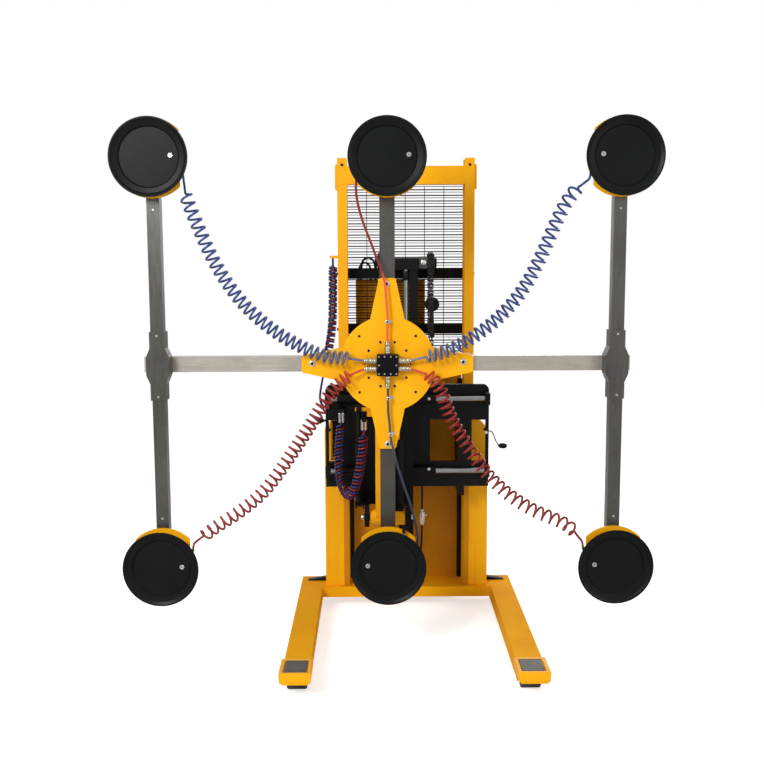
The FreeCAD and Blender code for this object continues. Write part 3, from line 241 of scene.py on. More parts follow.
clouds, taken, given = effect("tone_clouds", [
    ("First", tint, (1, 1, 1, 1)), ("Second", tint, (0, 0, 0, 1)), ("Patch", number, 6.0),
    ("Speck", number, 180.0), ("Amount", number, 0.5)], [("Colour", tint), ("Mask", number)])
where = add(clouds, "ShaderNodeTexCoord")
patch = add(clouds, "ShaderNodeTexNoise")
patch.inputs["Detail"].default_value = 5
speck = add(clouds, "ShaderNodeTexNoise")
speck.inputs["Detail"].default_value = 2
both = add(clouds, "ShaderNodeMath", operation="MULTIPLY_ADD")
both.inputs[1].default_value = 0.35
spread = add(clouds, "ShaderNodeMapRange")
spread.inputs["From Min"].default_value, spread.inputs["From Max"].default_value = 0.5, 0.92
amount = add(clouds, "ShaderNodeMath", operation="MULTIPLY")
blend = add(clouds, "ShaderNodeMix", data_type="RGBA")
wire_up(clouds, [
    (where.outputs["Object"], patch.inputs["Vector"]), (where.outputs["Object"], speck.inputs["Vector"]),
    (taken.outputs["Patch"], patch.inputs["Scale"]), (taken.outputs["Speck"], speck.inputs["Scale"]),
    (speck.outputs["Fac"], both.inputs[0]), (patch.outputs["Fac"], both.inputs[2]),
    (both.outputs[0], spread.inputs["Value"]), (spread.outputs["Result"], amount.inputs[0]),
    (taken.outputs["Amount"], amount.inputs[1]), (amount.outputs[0], blend.inputs["Factor"]),
    (taken.outputs["First"], blend.inputs["A"]), (taken.outputs["Second"], blend.inputs["B"]),
    (blend.outputs["Result"], given.inputs["Colour"]), (spread.outputs["Result"], given.inputs["Mask"])])

grain, taken, given = effect("fine_grain", [
    ("Scale", number, 400.0), ("Depth", number, 0.0002), ("Along", arrow, (1, 1, 1))],
    [("Normal", arrow), ("Mask", number)])
where = add(grain, "ShaderNodeTexCoord")
stretch = add(grain, "ShaderNodeVectorMath", operation="MULTIPLY")
noise = add(grain, "ShaderNodeTexNoise")
noise.inputs["Detail"].default_value = 3
bump = add(grain, "ShaderNodeBump")
wire_up(grain, [
    (where.outputs["Object"], stretch.inputs[0]), (taken.outputs["Along"], stretch.inputs[1]),
    (stretch.outputs[0], noise.inputs["Vector"]), (taken.outputs["Scale"], noise.inputs["Scale"]),
    (noise.outputs["Fac"], bump.inputs["Height"]), (taken.outputs["Depth"], bump.inputs["Distance"]),
    (bump.outputs["Normal"], given.inputs["Normal"]), (noise.outputs["Fac"], given.inputs["Mask"])])

rubbed, taken, given = effect("rubbed_edges", [("Width", number, 0.003), ("Share", number, 0.5)],
                              [("Mask", number)])
where = add(rubbed, "ShaderNodeTexCoord")
edge = add(rubbed, "ShaderNodeBevel")
edge.samples = 4
flat = add(rubbed, "ShaderNodeNewGeometry")
turned = add(rubbed, "ShaderNodeVectorMath", operation="DOT_PRODUCT")
sharp = add(rubbed, "ShaderNodeMapRange")
sharp.inputs["From Min"].default_value, sharp.inputs["From Max"].default_value = 0.97, 0.8
chips = add(rubbed, "ShaderNodeTexNoise")
chips.inputs["Scale"].default_value, chips.inputs["Detail"].default_value = 60, 6
few = add(rubbed, "ShaderNodeMapRange")
few.inputs["From Min"].default_value, few.inputs["From Max"].default_value = 0.5, 0.62
worn = add(rubbed, "ShaderNodeMath", operation="MULTIPLY")
kept = add(rubbed, "ShaderNodeMath", operation="MULTIPLY")
wire_up(rubbed, [
    (taken.outputs["Width"], edge.inputs["Radius"]), (edge.outputs["Normal"], turned.inputs[0]),
    (flat.outputs["Normal"], turned.inputs[1]), (turned.outputs["Value"], sharp.inputs["Value"]),
    (where.outputs["Object"], chips.inputs["Vector"]), (chips.outputs["Fac"], few.inputs["Value"]),
    (sharp.outputs["Result"], worn.inputs[0]), (few.outputs["Result"], worn.inputs[1]),
    (worn.outputs[0], kept.inputs[0]), (taken.outputs["Share"], kept.inputs[1]),
    (kept.outputs[0], given.inputs["Mask"])])
print("effects:", [g.name for g in bpy.data.node_groups])

# %% [markdown]
# ## Finishes
# The real lifter has thick yellow stove paint, satin black frames, galvanised square tube with a rolled
# grain, chromed rods, black moulded rubber and glossy plastic hose. One recipe makes them all, because
# they differ only in tones, roughness, metal and grain. Even values stay on the shader's own sockets.

# %% Make the finishes
def finish(name, first, second, rough, patch=6.0, speck=180.0, amount=0.5, metal=0.0, grain_scale=420.0,
           depth=0.0002, along=(1, 1, 1), coat=0.0, wear=None, wear_width=0.002, wear_share=0.5, shine=0.5):
    made = bpy.data.materials.new(name)
    made.use_nodes = True
    tree = made.node_tree
    shader = tree.nodes["Principled BSDF"]
    tones = add(tree, "ShaderNodeGroup", node_tree=clouds)
    tones.inputs["First"].default_value, tones.inputs["Second"].default_value = first, second
    tones.inputs["Patch"].default_value, tones.inputs["Speck"].default_value = patch, speck
    tones.inputs["Amount"].default_value = amount
    fine = add(tree, "ShaderNodeGroup", node_tree=grain)
    fine.inputs["Scale"].default_value, fine.inputs["Depth"].default_value = grain_scale, depth
    fine.inputs["Along"].default_value = along
    gloss = add(tree, "ShaderNodeMapRange")
    gloss.inputs["From Min"].default_value, gloss.inputs["From Max"].default_value = 0.3, 0.7
    gloss.inputs["To Min"].default_value, gloss.inputs["To Max"].default_value = rough
    tree.links.new(fine.outputs["Mask"], gloss.inputs["Value"])
    tree.links.new(gloss.outputs["Result"], shader.inputs["Roughness"])
    tree.links.new(fine.outputs["Normal"], shader.inputs["Normal"])
    shader.inputs["Metallic"].default_value = metal
    shader.inputs["Coat Weight"].default_value = coat
    shader.inputs["Coat Roughness"].default_value = 0.12
    shader.inputs["Specular IOR Level"].default_value = shine
    colour = tones.outputs["Colour"]
    if wear:
        edges = add(tree, "ShaderNodeGroup", node_tree=rubbed)
        edges.inputs["Width"].default_value, edges.inputs["Share"].default_value = wear_width, wear_share
        bare = add(tree, "ShaderNodeMix", data_type="RGBA")
        bare.inputs["B"].default_value = wear
        tree.links.new(edges.outputs["Mask"], bare.inputs["Factor"])
        tree.links.new(colour, bare.inputs["A"])
        colour = bare.outputs["Result"]
    tree.links.new(colour, shader.inputs["Base Color"])
    finishes[name] = made
    return made


yellow, deep_yellow = linear(255, 182, 8), linear(240, 154, 4)
finish("yellow_paint", yellow, deep_yellow, (0.36, 0.5), patch=3.5, amount=0.5, grain_scale=260,
       depth=0.00012, wear=linear(150, 96, 20), wear_share=0.35, shine=0.18)
finish("leg_paint", linear(255, 184, 22), linear(236, 150, 14), (0.5, 0.68), patch=4, amount=0.7,
       grain_scale=260, depth=0.00015, wear=linear(130, 86, 24), wear_share=0.6, shine=0.03)
# hood_cover is the yellow paint darkened to its tone in shade: painted shade on the hood, cabinet, inner
# flanges, door and panel.
finish("hood_cover", linear(212, 140, 8), linear(176, 108, 8), (0.4, 0.56), patch=3, amount=0.6,
       grain_scale=300, depth=0.0001, wear=linear(130, 86, 24), wear_share=0.3, shine=0.14)
finish("black_paint", linear(9, 9, 10), linear(20, 19, 19), (0.3, 0.5), amount=0.6, depth=0.0002,
       shine=0.14, wear=linear(84, 82, 78), wear_share=0.45)
finish("galvanised", linear(88, 86, 82), linear(58, 56, 53), (0.26, 0.42), patch=5, speck=60, amount=0.5,
       metal=0.7, grain_scale=160, depth=0.00012, along=(1, 1, 0.1))
finish("galvanised_across", linear(180, 173, 162), linear(138, 132, 122), (0.28, 0.46), patch=5,
       speck=60, amount=0.45, metal=0.6, grain_scale=160, depth=0.00012, along=(0.1, 1, 1))
finish("dark_steel", linear(82, 78, 72), linear(54, 51, 47), (0.32, 0.48), patch=5, speck=60, amount=0.5,
       metal=0.7, grain_scale=160, depth=0.00012, along=(1, 1, 0.1))
finish("chrome_rod", linear(225, 226, 228), linear(168, 168, 170), (0.08, 0.2), amount=0.35, metal=1.0,
       grain_scale=600, depth=0.00003)
finish("ram_steel", linear(150, 152, 156), linear(96, 97, 100), (0.12, 0.24), amount=0.4, metal=1.0,
       grain_scale=600, depth=0.00003)
finish("bright_steel", linear(205, 205, 202), linear(140, 139, 136), (0.2, 0.38), amount=0.5, metal=1.0,
       depth=0.00008)
finish("rubber_pad", linear(9, 10, 11), linear(18, 19, 20), (0.3, 0.46), patch=9, amount=0.6,
       grain_scale=900, depth=0.00008, shine=0.12)
finish("wheel_tyre", linear(38, 37, 36), linear(84, 80, 74), (0.55, 0.8), patch=22, amount=0.7,
       depth=0.0003)
finish("roller", linear(40, 39, 37), linear(70, 67, 62), (0.5, 0.72), patch=30, amount=0.8, depth=0.0003)
finish("black_plastic", linear(10, 10, 11), linear(20, 20, 21), (0.34, 0.5), amount=0.5, grain_scale=700,
       depth=0.00012, shine=0.14)
finish("anodised_black", linear(7, 7, 9), linear(16, 16, 19), (0.24, 0.38), amount=0.5, grain_scale=500,
       depth=0.00005, wear=linear(120, 120, 122), wear_width=0.001, wear_share=0.4, shine=0.12)
finish("brass_fitting", linear(206, 184, 130), linear(150, 124, 74), (0.16, 0.32), patch=40, amount=0.5,
       metal=1.0, depth=0.00005)
finish("nickel_fitting", linear(196, 186, 164), linear(112, 102, 84), (0.14, 0.3), patch=40, amount=0.5,
       metal=1.0, depth=0.00005)
finish("chain_steel", linear(26, 25, 24), linear(74, 70, 64), (0.3, 0.55), patch=60, amount=0.6,
       metal=0.5, depth=0.0002, shine=0.3)
finish("red_button", linear(196, 26, 20), linear(150, 14, 12), (0.28, 0.42), amount=0.4, depth=0.0001,
       coat=0.3)
finish("dial_white", linear(236, 236, 230), linear(214, 213, 206), (0.3, 0.42), amount=0.4,
       depth=0.00002)
finish("shoe_grey", linear(92, 88, 82), linear(66, 63, 58), (0.42, 0.6), patch=20, amount=0.6, metal=0.4,
       depth=0.0001)
finish("screen_wire", linear(14, 13, 12), linear(32, 29, 25), (0.5, 0.7), patch=30, amount=0.6,
       depth=0.0001, shine=0.06)
print(len(finishes), "finishes")

# %% [markdown]
# The hoses change colour on the way: the curled ones come grey out of the plate, and the short pieces at
# the plate are orange. A number called along runs from 0 to 1 over each hose's mesh, and its material
# turns from one colour to the other where that number passes a given place.

# %% Make the hose finishes
def hose_finish(name, first, second, turn_at, fade, rough=(0.24, 0.36)):
    made = finish(name, second, tuple(c * 0.62 for c in second[:3]) + (1.0,), rough, patch=26, amount=0.5,
                  grain_scale=500, depth=0.00008, coat=0.1, shine=0.3)
    tree = made.node_tree
    shader = tree.nodes["Principled BSDF"]
    way = add(tree, "ShaderNodeAttribute", attribute_name="along")
    part = add(tree, "ShaderNodeMapRange")
    part.inputs["From Min"].default_value = turn_at - fade
    part.inputs["From Max"].default_value = turn_at + fade
    mixed = add(tree, "ShaderNodeMix", data_type="RGBA")
    mixed.inputs["A"].default_value = first
    tree.links.new(way.outputs["Fac"], part.inputs["Value"])
    tree.links.new(part.outputs["Result"], mixed.inputs["Factor"])
    tree.links.new(shader.inputs["Base Color"].links[0].from_socket, mixed.inputs["B"])
    tree.links.new(mixed.outputs["Result"], shader.inputs["Base Color"])


hose_finish("blue_hose", linear(104, 112, 140), linear(52, 72, 138), 0.16, 0.12)
hose_finish("red_hose", linear(206, 74, 48), linear(146, 38, 32), 0.07, 0.05)
hose_finish("top_hose_red", linear(236, 92, 44), linear(136, 36, 32), 0.30, 0.03)
hose_finish("dark_hose", linear(70, 68, 74), linear(40, 46, 72), 0.34, 0.05)
hose_finish("feed_blue", linear(38, 42, 108), linear(30, 34, 92), 0.5, 0.3)
hose_finish("feed_red", linear(84, 18, 28), linear(124, 22, 28), 0.5, 0.3)
print("hose finishes ready")

# %% [markdown]
# ## The curled hoses
# Six hoses run from the block in the middle of the head to the pads. Four are curled, and sag between
# their ends. Each is made as a fixed length of tube: first the line it hangs on, a smooth NURBS spline
# through the places below, then a helix round that line, closer near the plate and opener near the pads,
# then the round tube itself. The helix keeps its radius, so the coil looks wound and not stretched.

# %% Helpers for lines and tubes
def spline_object(name, points, thick=0.0, sides=2):
    curve = bpy.data.curves.new(name, "CURVE")
    curve.dimensions = "3D"
    curve.resolution_u = 3 if len(points) > 60 else 8
    curve.bevel_depth, curve.bevel_resolution = thick, sides
    curve.use_fill_caps = thick > 0
    spline = curve.splines.new("NURBS")
    spline.points.add(len(points) - 1)
    for point, at in zip(spline.points, points):
        point.co = (at[0], at[1], at[2], 1)
    spline.order_u = 3
    spline.use_endpoint_u = True
    piece = bpy.data.objects.new(name, curve)
    bpy.context.scene.collection.objects.link(piece)
    return piece


def smooth_line(points):
    """The points that the spline itself goes through."""
    holder = spline_object("line", points)
    mesh = bpy.data.meshes.new_from_object(holder)
    line = [point.co.copy() for point in mesh.vertices]
    bpy.data.objects.remove(holder)
    bpy.data.meshes.remove(mesh)
    return line


def run_length(line):
    return sum((b - a).length for a, b in zip(line, line[1:]))


def point_at(line, gone):
    for a, b in zip(line, line[1:]):
        step = (b - a).length
        if gone <= step and step > 0:
            return a + (b - a) * (gone / step), (b - a).normalized()
        gone -= step
    return line[-1].copy(), (line[-1] - line[-2]).normalized()


def wound(line, turns, radius, plain_start, plain_end, opening=0.2, begin=math.pi / 2, side=(0, 1, 0)):
    """Points of a helix round the line between the two plain ends. It grows out of and back into the line."""
    whole = run_length(line)
    reach = whole - plain_start - plain_end
    points_per_turn, turns_to_grow = 14, 0.6
    count = int(turns * points_per_turn)
    points = []
    u_axis = Vector(side)
    for k in range(count + 1):
        share = k / count
        here, way = point_at(line, plain_start + reach * (share + opening * (share * share - share)))
        u_axis = (u_axis - way * u_axis.dot(way)).normalized()
        v_axis = way.cross(u_axis)
        near = min(1.0, min(share, 1 - share) * turns / turns_to_grow)
        angle = begin + 2 * math.pi * turns * share
        swing = radius * near * near * (3 - 2 * near)
        points.append(here + u_axis * (swing * math.cos(angle)) + v_axis * (swing * math.sin(angle)))
    return points


def tube_mesh(name, points, thick, sides=2):
    """The spline as a mesh tube, with the number that says how far along each point is."""
    holder = spline_object(name, points, thick, sides)
    work_on(holder)
    bpy.ops.object.convert(target="MESH")
    piece = bpy.context.active_object
    line = smooth_line(points)
    count = len(piece.data.vertices)
    around = 4 + 2 * sides
    along = piece.data.attributes.new("along", "FLOAT", "POINT")
    along.data.foreach_set("value", [min(1.0, (i // around) / (count / around - 1)) for i in range(count)])
    bpy.ops.object.shade_smooth()
    return piece, line


# %% Route and wind the four curled hoses of the head
port_y, coil_y, coil_radius, coil_hose = -0.469, -0.490, 0.0245, 0.0047


def head_coil(name, sign, port_z, places, far_z, end_z, turns, finish_name):
    front, back, far_x = port_y, coil_y, 0.782 * sign
    ends = [(0.076 * sign, front, port_z), (0.084 * sign, front, port_z)]
    far = [(far_x, -0.472, end_z), (far_x, -0.486, far_z), (far_x, -0.494, far_z)]
    route = ends + [(x, back, z) for x, z in places] + far
    line = smooth_line(route)
    curls = wound(line, turns, coil_radius, 0.075, 0.075)
    after_port, before_pad = point_at(line, 0.045)[0], point_at(line, run_length(line) - 0.05)[0]
    points = [Vector(p) for p in ends] + [after_port] + curls + [before_pad] + [Vector(p) for p in far]
    piece, centre = tube_mesh(name + "_hose", points, coil_hose)
    piece = hand_over(piece, name + "_hose", None, finish_name)
    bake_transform(piece)
    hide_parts(name)


blue_left = [(-0.165, 1.226), (-0.245, 1.229), (-0.343, 1.271), (-0.459, 1.341), (-0.574, 1.448),
             (-0.669, 1.594), (-0.735, 1.753), (-0.772, 1.850)]
blue_right = [(0.158, 1.229), (0.242, 1.251), (0.339, 1.306), (0.435, 1.377), (0.529, 1.486), (0.603, 1.629),
              (0.657, 1.765), (0.712, 1.862)]
red_left = [(-0.150, 1.160), (-0.226, 1.091), (-0.305, 0.960), (-0.384, 0.839), (-0.484, 0.698),
            (-0.583, 0.616), (-0.672, 0.560), (-0.722, 0.526)]
red_right = [(0.160, 1.160), (0.205, 1.111), (0.246, 0.982), (0.306, 0.883), (0.388, 0.763), (0.469, 0.682),
             (0.570, 0.613), (0.670, 0.573), (0.725, 0.545)]
head_coil("blue_coil_left", -1, 1.210, blue_left, 1.935, 1.913, 33, "blue_hose")
head_coil("blue_coil_right", 1, 1.210, blue_right, 1.935, 1.913, 31, "blue_hose")
head_coil("red_coil_left", -1, 1.180, red_left, 0.455, 0.477, 33, "red_hose")
head_coil("red_coil_right", 1, 1.180, red_right, 0.455, 0.477, 31, "red_hose")

# %% [markdown]
# ## The two straight hoses
# The pads in the middle need no slack, so their hoses are plain, one up and one down, clipped to the
# plate. They bend only a little, and turn into the pad from behind at their far end.

# %% Route the straight hoses
front = port_y
up_route = [(0, front, 1.271), (-0.001, front, 1.330), (0.001, front - 0.002, 1.395),
            (-0.005, front - 0.002, 1.455), (-0.008, front, 1.515), (-0.024, front + 0.001, 1.570),
            (-0.046, front + 0.002, 1.625), (-0.066, front + 0.002, 1.680), (-0.088, front + 0.001, 1.735),
            (-0.106, front, 1.790), (-0.118, front, 1.845), (-0.121, front, 1.892), (-0.118, front, 1.9184),
            (-0.118, front - 0.0064, 1.9296), (-0.118, front - 0.0176, 1.936), (-0.118, front - 0.025, 1.936)]
down_route = [(0, front, 1.119), (0.002, front, 1.062), (0.001, front + 0.002, 1.008),
              (0.008, front + 0.003, 0.955), (0.010, front + 0.002, 0.900), (0.024, front + 0.001, 0.850),
              (0.034, front, 0.800),
              (0.050, front - 0.001, 0.750), (0.066, front, 0.700), (0.084, front + 0.001, 0.650),
              (0.098, front, 0.600), (0.112, front, 0.550), (0.120, front, 0.500), (0.118, front, 0.4726),
              (0.118, front - 0.0064, 0.4614), (0.118, front - 0.0176, 0.455), (0.118, front - 0.025, 0.455)]
for name, route, arm, near, far, finish_name in (
        ("top_hose", up_route, "arm_top", 1.54, 1.86, "top_hose_red"),
        ("lower_hose", down_route, "arm_bottom", 0.85, 0.53, "dark_hose")):
    piece, centre = tube_mesh(name + "_tube", route, 0.005, 3)
    slot = "red_hose" if name == "top_hose" else "dark_hose"
    piece = hand_over(piece, name + "_tube", None, finish_name)
    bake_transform(piece)
    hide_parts(name)
    print(name, "is", round(run_length(centre), 3), "m")

# %% [markdown]
# ## Feed coils and hanging loop
# The vacuum reaches the carriage by two curled hoses outside the mast, a blue and a dark red one wound into
# each other, which stretch when the carriage rises. A second pair hangs in a loop between the carriage
# and the side shift. The two hoses of a pair are the same helix, the red one less than half a turn behind.

# %% Route the feed coils and the loop
feed_route = [(-0.238, 0.178, 1.610), (-0.238, 0.178, 1.602), (-0.238, 0.178, 1.560),
              (-0.239, 0.178, 1.480), (-0.240, 0.176, 1.390), (-0.243, 0.164, 1.300),
              (-0.254, 0.128, 1.220), (-0.288, 0.044, 1.060), (-0.300, -0.002, 0.978),
              (-0.279, -0.015, 0.960), (-0.269, -0.015, 0.960)]
loop_route = [(-0.196, -0.100, 0.950), (-0.196, -0.100, 0.942), (-0.200, -0.102, 0.880),
              (-0.208, -0.116, 0.800), (-0.208, -0.140, 0.710), (-0.196, -0.170, 0.640),
              (-0.166, -0.212, 0.600), (-0.138, -0.252, 0.640), (-0.118, -0.274, 0.720),
              (-0.104, -0.286, 0.800), (-0.098, -0.292, 0.870), (-0.096, -0.292, 0.932),
              (-0.096, -0.292, 0.940)]


def pair_of_coils(node, route, turns, lengths, shift, after):
    """Two hoses wound on one line, the red one behind by an angle. Their plain ends lie side by side."""
    radius, hose = 0.0165, 0.0048
    plain_start, plain_end = lengths
    line = smooth_line(route)
    left = run_length(line) - plain_end
    for word, finish_name, begin, way in (("blue", "feed_blue", 0.0, -1), ("red", "feed_red", after, 1)):
        beside = Vector(shift) * way
        winding = wound(line, turns, radius, plain_start, plain_end, opening=0.04, begin=begin, side=(1, 0, 0))
        shares = (0.2, 0.4, 0.6, 0.8) if plain_end > 0.1 else ()
        plain = [point_at(line, left + plain_end * share)[0] + beside for share in shares]
        ends = [Vector(p) + beside for p in route[:2] + route[-2:]]
        points = ends[:2] + winding + plain + ends[2:]
        name = "%s_%s" % (node, word)
        piece, centre = tube_mesh(name, points, hose, 1)
        piece = hand_over(piece, name, None, finish_name)
        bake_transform(piece)
        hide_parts(node)
        print(name, "is", round(run_length(centre), 2), "m in", turns, "turns")


pair_of_coils("feed_coil", feed_route, 16, (0.03, 0.25),
              (0, 0.0055, 0), 2.4)
pair_of_coils("loop_coil", loop_route, 21, (0.05, 0.05),
              (0.0055, 0, 0), 2.9)

# %% [markdown]
# ## The sensor lead
# A thin black lead leaves the carriage plate on the right and ends in a small plug.

# %% Route the sensor lead
lead_route = [(0.451, -0.015, 0.850), (0.459, -0.015, 0.850), (0.468, -0.015, 0.845),
              (0.474, -0.015, 0.832), (0.482, -0.015, 0.808), (0.490, -0.015, 0.794),
              (0.497, -0.015, 0.7865), (0.503, -0.015, 0.784), (0.510, -0.015, 0.784)]
lead_length = round(run_length(smooth_line(lead_route)), 3)
lead = spline_object("sensor_lead", lead_route, 0.0025, 2)
lead.data.materials.append(finishes["black_plastic"])
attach(lead, "carriage")
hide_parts("side_cable")
print("lead", lead_length, "m")

# %% [markdown]
# ## Studio
# A pale floor that curves up into a backdrop would show a horizon in the gloss, so there is only a wide
# pale floor, and the sky is white to the camera and to reflections. The soft lamps are large, one high on
# the left front, a weak one on the right, and one behind for the edges.

# %% Floor, sky and lamps
nothing_selected()
bpy.ops.mesh.primitive_plane_add(size=60, location=(0, 0, 0))
floor = bpy.context.active_object
floor.name = "floor"
ground = bpy.data.materials.new("pale_floor")
ground.use_nodes = True
tree = ground.node_tree
matt = tree.nodes["Principled BSDF"]
matt.inputs["Base Color"].default_value = (0.9, 0.9, 0.9, 1)
matt.inputs["Roughness"].default_value = 0.9
matt.inputs["Specular IOR Level"].default_value = 0.1
matt.inputs["Emission Color"].default_value = (1, 1, 1, 1)
seen = add(tree, "ShaderNodeLightPath")
lift = add(tree, "ShaderNodeMapRange")
lift.inputs["To Min"].default_value, lift.inputs["To Max"].default_value = 0.0, 0.62
tree.links.new(seen.outputs["Is Camera Ray"], lift.inputs["Value"])
tree.links.new(lift.outputs["Result"], matt.inputs["Emission Strength"])
floor.data.materials.append(ground)

sky = bpy.data.worlds.new("studio")
bpy.context.scene.world = sky
sky.use_nodes = True
tree = sky.node_tree
glow = tree.nodes["Background"]
glow.inputs["Color"].default_value = (1, 1, 1, 1)
path = add(tree, "ShaderNodeLightPath")
mirrored = add(tree, "ShaderNodeMath", operation="MAXIMUM")
seen_at_all = add(tree, "ShaderNodeMath", operation="MAXIMUM")
strength = add(tree, "ShaderNodeMapRange")
strength.inputs["To Min"].default_value, strength.inputs["To Max"].default_value = 0.4, 1.0
wire_up(tree, [
    (path.outputs["Is Camera Ray"], mirrored.inputs[0]), (path.outputs["Is Glossy Ray"], mirrored.inputs[1]),
    (mirrored.outputs[0], seen_at_all.inputs[0]), (path.outputs["Is Transmission Ray"], seen_at_all.inputs[1]),
    (seen_at_all.outputs[0], strength.inputs["Value"]), (strength.outputs["Result"], glow.inputs["Strength"])])


def lamp(name, at, aim, size, power):
    light = bpy.data.lights.new(name, "AREA")
    light.shape, light.size, light.energy = "SQUARE", size, power
    holder = bpy.data.objects.new(name, light)
    bpy.context.scene.collection.objects.link(holder)
    holder.location = at
    holder.rotation_mode = "QUATERNION"
    holder.rotation_quaternion = (Vector(aim) - Vector(at)).to_track_quat("-Z", "Y")


lamp("key", (-2.4, -4.4, 3.3), (0, -0.2, 1.0), 1.4, 165)
lamp("fill", (3.4, -3.4, 1.8), (0, 0, 1.0), 2.6, 34)
lamp("rim", (1.2, 3.4, 3.2), (0, 0.2, 1.2), 2.0, 60)
bpy.context.scene.view_settings.view_transform = "Standard"
print("studio ready")

# %% [markdown]
# ## Finishes of the solids
# The shapes of the solids are right, so they stay and only get their finish. The tubes that lie across get
# a brighter zinc with its grain along x, and a few other solids have a finish of their own as well.

# %% Give each solid its finish
special = {"arm_left": "galvanised_across", "arm_right": "galvanised_across", "arm_bottom": "dark_steel",
           "leg_left": "leg_paint", "leg_right": "leg_paint", "base_frame": "leg_paint",
           "piston_rod": "ram_steel", "slide_rods": "ram_steel", "mesh_guard": "screen_wire",
           "hose_fittings": "nickel_fitting"}
for name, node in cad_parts.items():
    slot = node.data.materials[0].name.split(".")[0] if node.data.materials else "black_paint"
    chosen = finishes[special.get(name, slot)]
    for i in range(max(1, len(node.material_slots))):
        if node.material_slots:
            node.material_slots[i].material = chosen
        else:
            node.data.materials.append(chosen)
print(len(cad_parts), "solids have a finish")

# %% [markdown]
# ## Lifting chains
# Two leaf chains go up from the mast's tie bar, over the wheels of the crosshead and down to the
# carriage. One link plate is a bar with rounded ends. Six of them stand side by side with two pins and make
# a double pitch of chain, which is copied along the line. Three of the plates sit one pitch lower than the
# others, so that the copies hang together as on a real chain.

# %% Model a double pitch of chain and lay it along the line
def link_plate(thick, pitch, tall):
    plate = block((thick, tall, pitch + tall), (0, 0, 0))
    pick(plate, lambda a, b: abs(a.x - b.x) > thick / 2, "EDGE")
    bpy.ops.mesh.bevel(offset=tall * 0.46, segments=2, affect="EDGES")
    done()
    return plate


pitch, tall, plate_thick, plate_step = 0.01588, 0.0092, 0.0032, 0.0042
pin_radius, pin_length = 0.0028, 0.0246
raised_plates = (0, 2, 5)
plates = []
for k in range(6):
    plate = link_plate(plate_thick, pitch, tall)
    rise = pitch / 2 if k in raised_plates else -pitch / 2
    plate.data.transform(Matrix.Translation((plate_step * (k - 2.5), 0, rise)))
    plates.append(plate)
pin = round_bar(pin_radius, pin_length, (0, 0, 0), (1, 0, 0), 8)
double = one_piece(plates + [pin])
second_pin = round_bar(pin_radius, pin_length, (0, 0, pitch), (1, 0, 0), 8)
double = one_piece([double, second_pin])
wheel_y, wheel_z, wheel_radius = 0.18, 1.588, 0.036
mid = wheel_radius + 0.0048
for side, x in (("left", -0.021), ("right", 0.203)):
    straight_front = [((x, wheel_y - mid, wheel_z - pitch * (2 * k + 1)), (0, 0, 1)) for k in range(18)]
    straight_back = [((x, wheel_y + mid, wheel_z - pitch * (2 * k + 1)), (0, 0, 1)) for k in range(9)]
    steps = 5
    curve = [((x, wheel_y - mid * math.cos(a), wheel_z + mid * math.sin(a)), (0, math.sin(a), math.cos(a)))
             for a in [math.pi * (k + 0.3) / steps for k in range(steps)]]
    runs = (("front", straight_front, None), ("over", curve, "crosshead"), ("back", straight_back, None))
    for name, run, body in runs:
        links = [same_again(double, at, axis) for at, axis in run]
        chain = hand_over(one_piece(links), "chain_%s_%s" % (name, side), body, "chain_steel")
        if name == "front":
            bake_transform(chain)
            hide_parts("lift_chains")
        if name == "back":
            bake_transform(chain)
thrown_away(double)
print("chains laid")

# %% [markdown]
# ## Screen between the columns
# The screen is woven wire at half the pitch that the solid shows, so the wires between are added as thin
# round bars. A twelve sided wire would be wasted at this size, and six sides are enough.

# %% Add the wires between
mast_x, wire_radius, wire_length, wire_pitch = 0.091, 0.0031, 0.566, 0.0254
wire = round_bar(wire_radius, wire_length, (0, 0, 0), (0, 0, 1), 6)
pick(wire, lambda centre, normal: abs(normal.z) > 0.9)
drawn_in(0.0004)
done()
low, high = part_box("mesh_guard")
first_z = low[2] + wire_pitch / 2
wires = [same_again(wire, (mast_x, 0.2465, first_z + wire_pitch * k), (1, 0, 0)) for k in range(32)]
thrown_away(wire)
hand_over(one_piece(wires), "screen_wires", "root", "screen_wire")
print("screen has", len(wires), "more wires")

# %% [markdown]
# ## Screws and clips of the head
# The yellow plate carries socket screws, clips for the hoses and a ring of small screws on the black
# block. One socket screw is modelled from a cylinder: its top is drawn in twice and pushed down for the key.

# %% Model the socket screw and place it
def socket_screw(radius, tall):
    head = round_bar(radius, tall, (0, 0, tall / 2), (0, 0, 1), 18)
    pick(head, lambda centre, normal: normal.z > 0.9)
    drawn_in(radius * 0.18)
    drawn_in(radius * 0.26)
    pushed(0, 0, -tall * 0.55)
    done()
    return soften(head, radius * 0.08, 1, 50)


def screws(name, body, radius, tall, places, finish_name="bright_steel"):
    model = socket_screw(radius, tall)
    copies = [same_again(model, at, axis, 0.4 * k) for k, (at, axis) in enumerate(places)]
    thrown_away(model)
    return hand_over(one_piece(copies), name, body, finish_name)


toward, centre_z, plate_front = (0, -1, 0), 1.195, -0.4445
low_pad_z, high_pad_z, outer_x = 0.395, 1.995, 0.9
screws("block_screws", "head", 0.0034, 0.003,
       [((x, -0.490, centre_z + z), toward) for x in (-0.034, 0.034) for z in (-0.034, 0, 0.034)] +
       [((x, -0.490, centre_z + z), toward) for x in (-0.012, 0.012) for z in (-0.034, 0.034)])
plate_holes = [(0.1117 * a, 0.1117 * b) for a in (-1, 1) for b in (-1, 1)] + [
    (0.092 * math.cos(math.pi * k / 5), 0.092 * math.sin(math.pi * k / 5)) for k in (1, 2, 3, 4, 6, 7, 8, 9)]
screws("hub_screws", "head", 0.0052, 0.0025,
       [((x, plate_front, centre_z + z), toward) for x, z in plate_holes], "black_plastic")
print("screws placed")

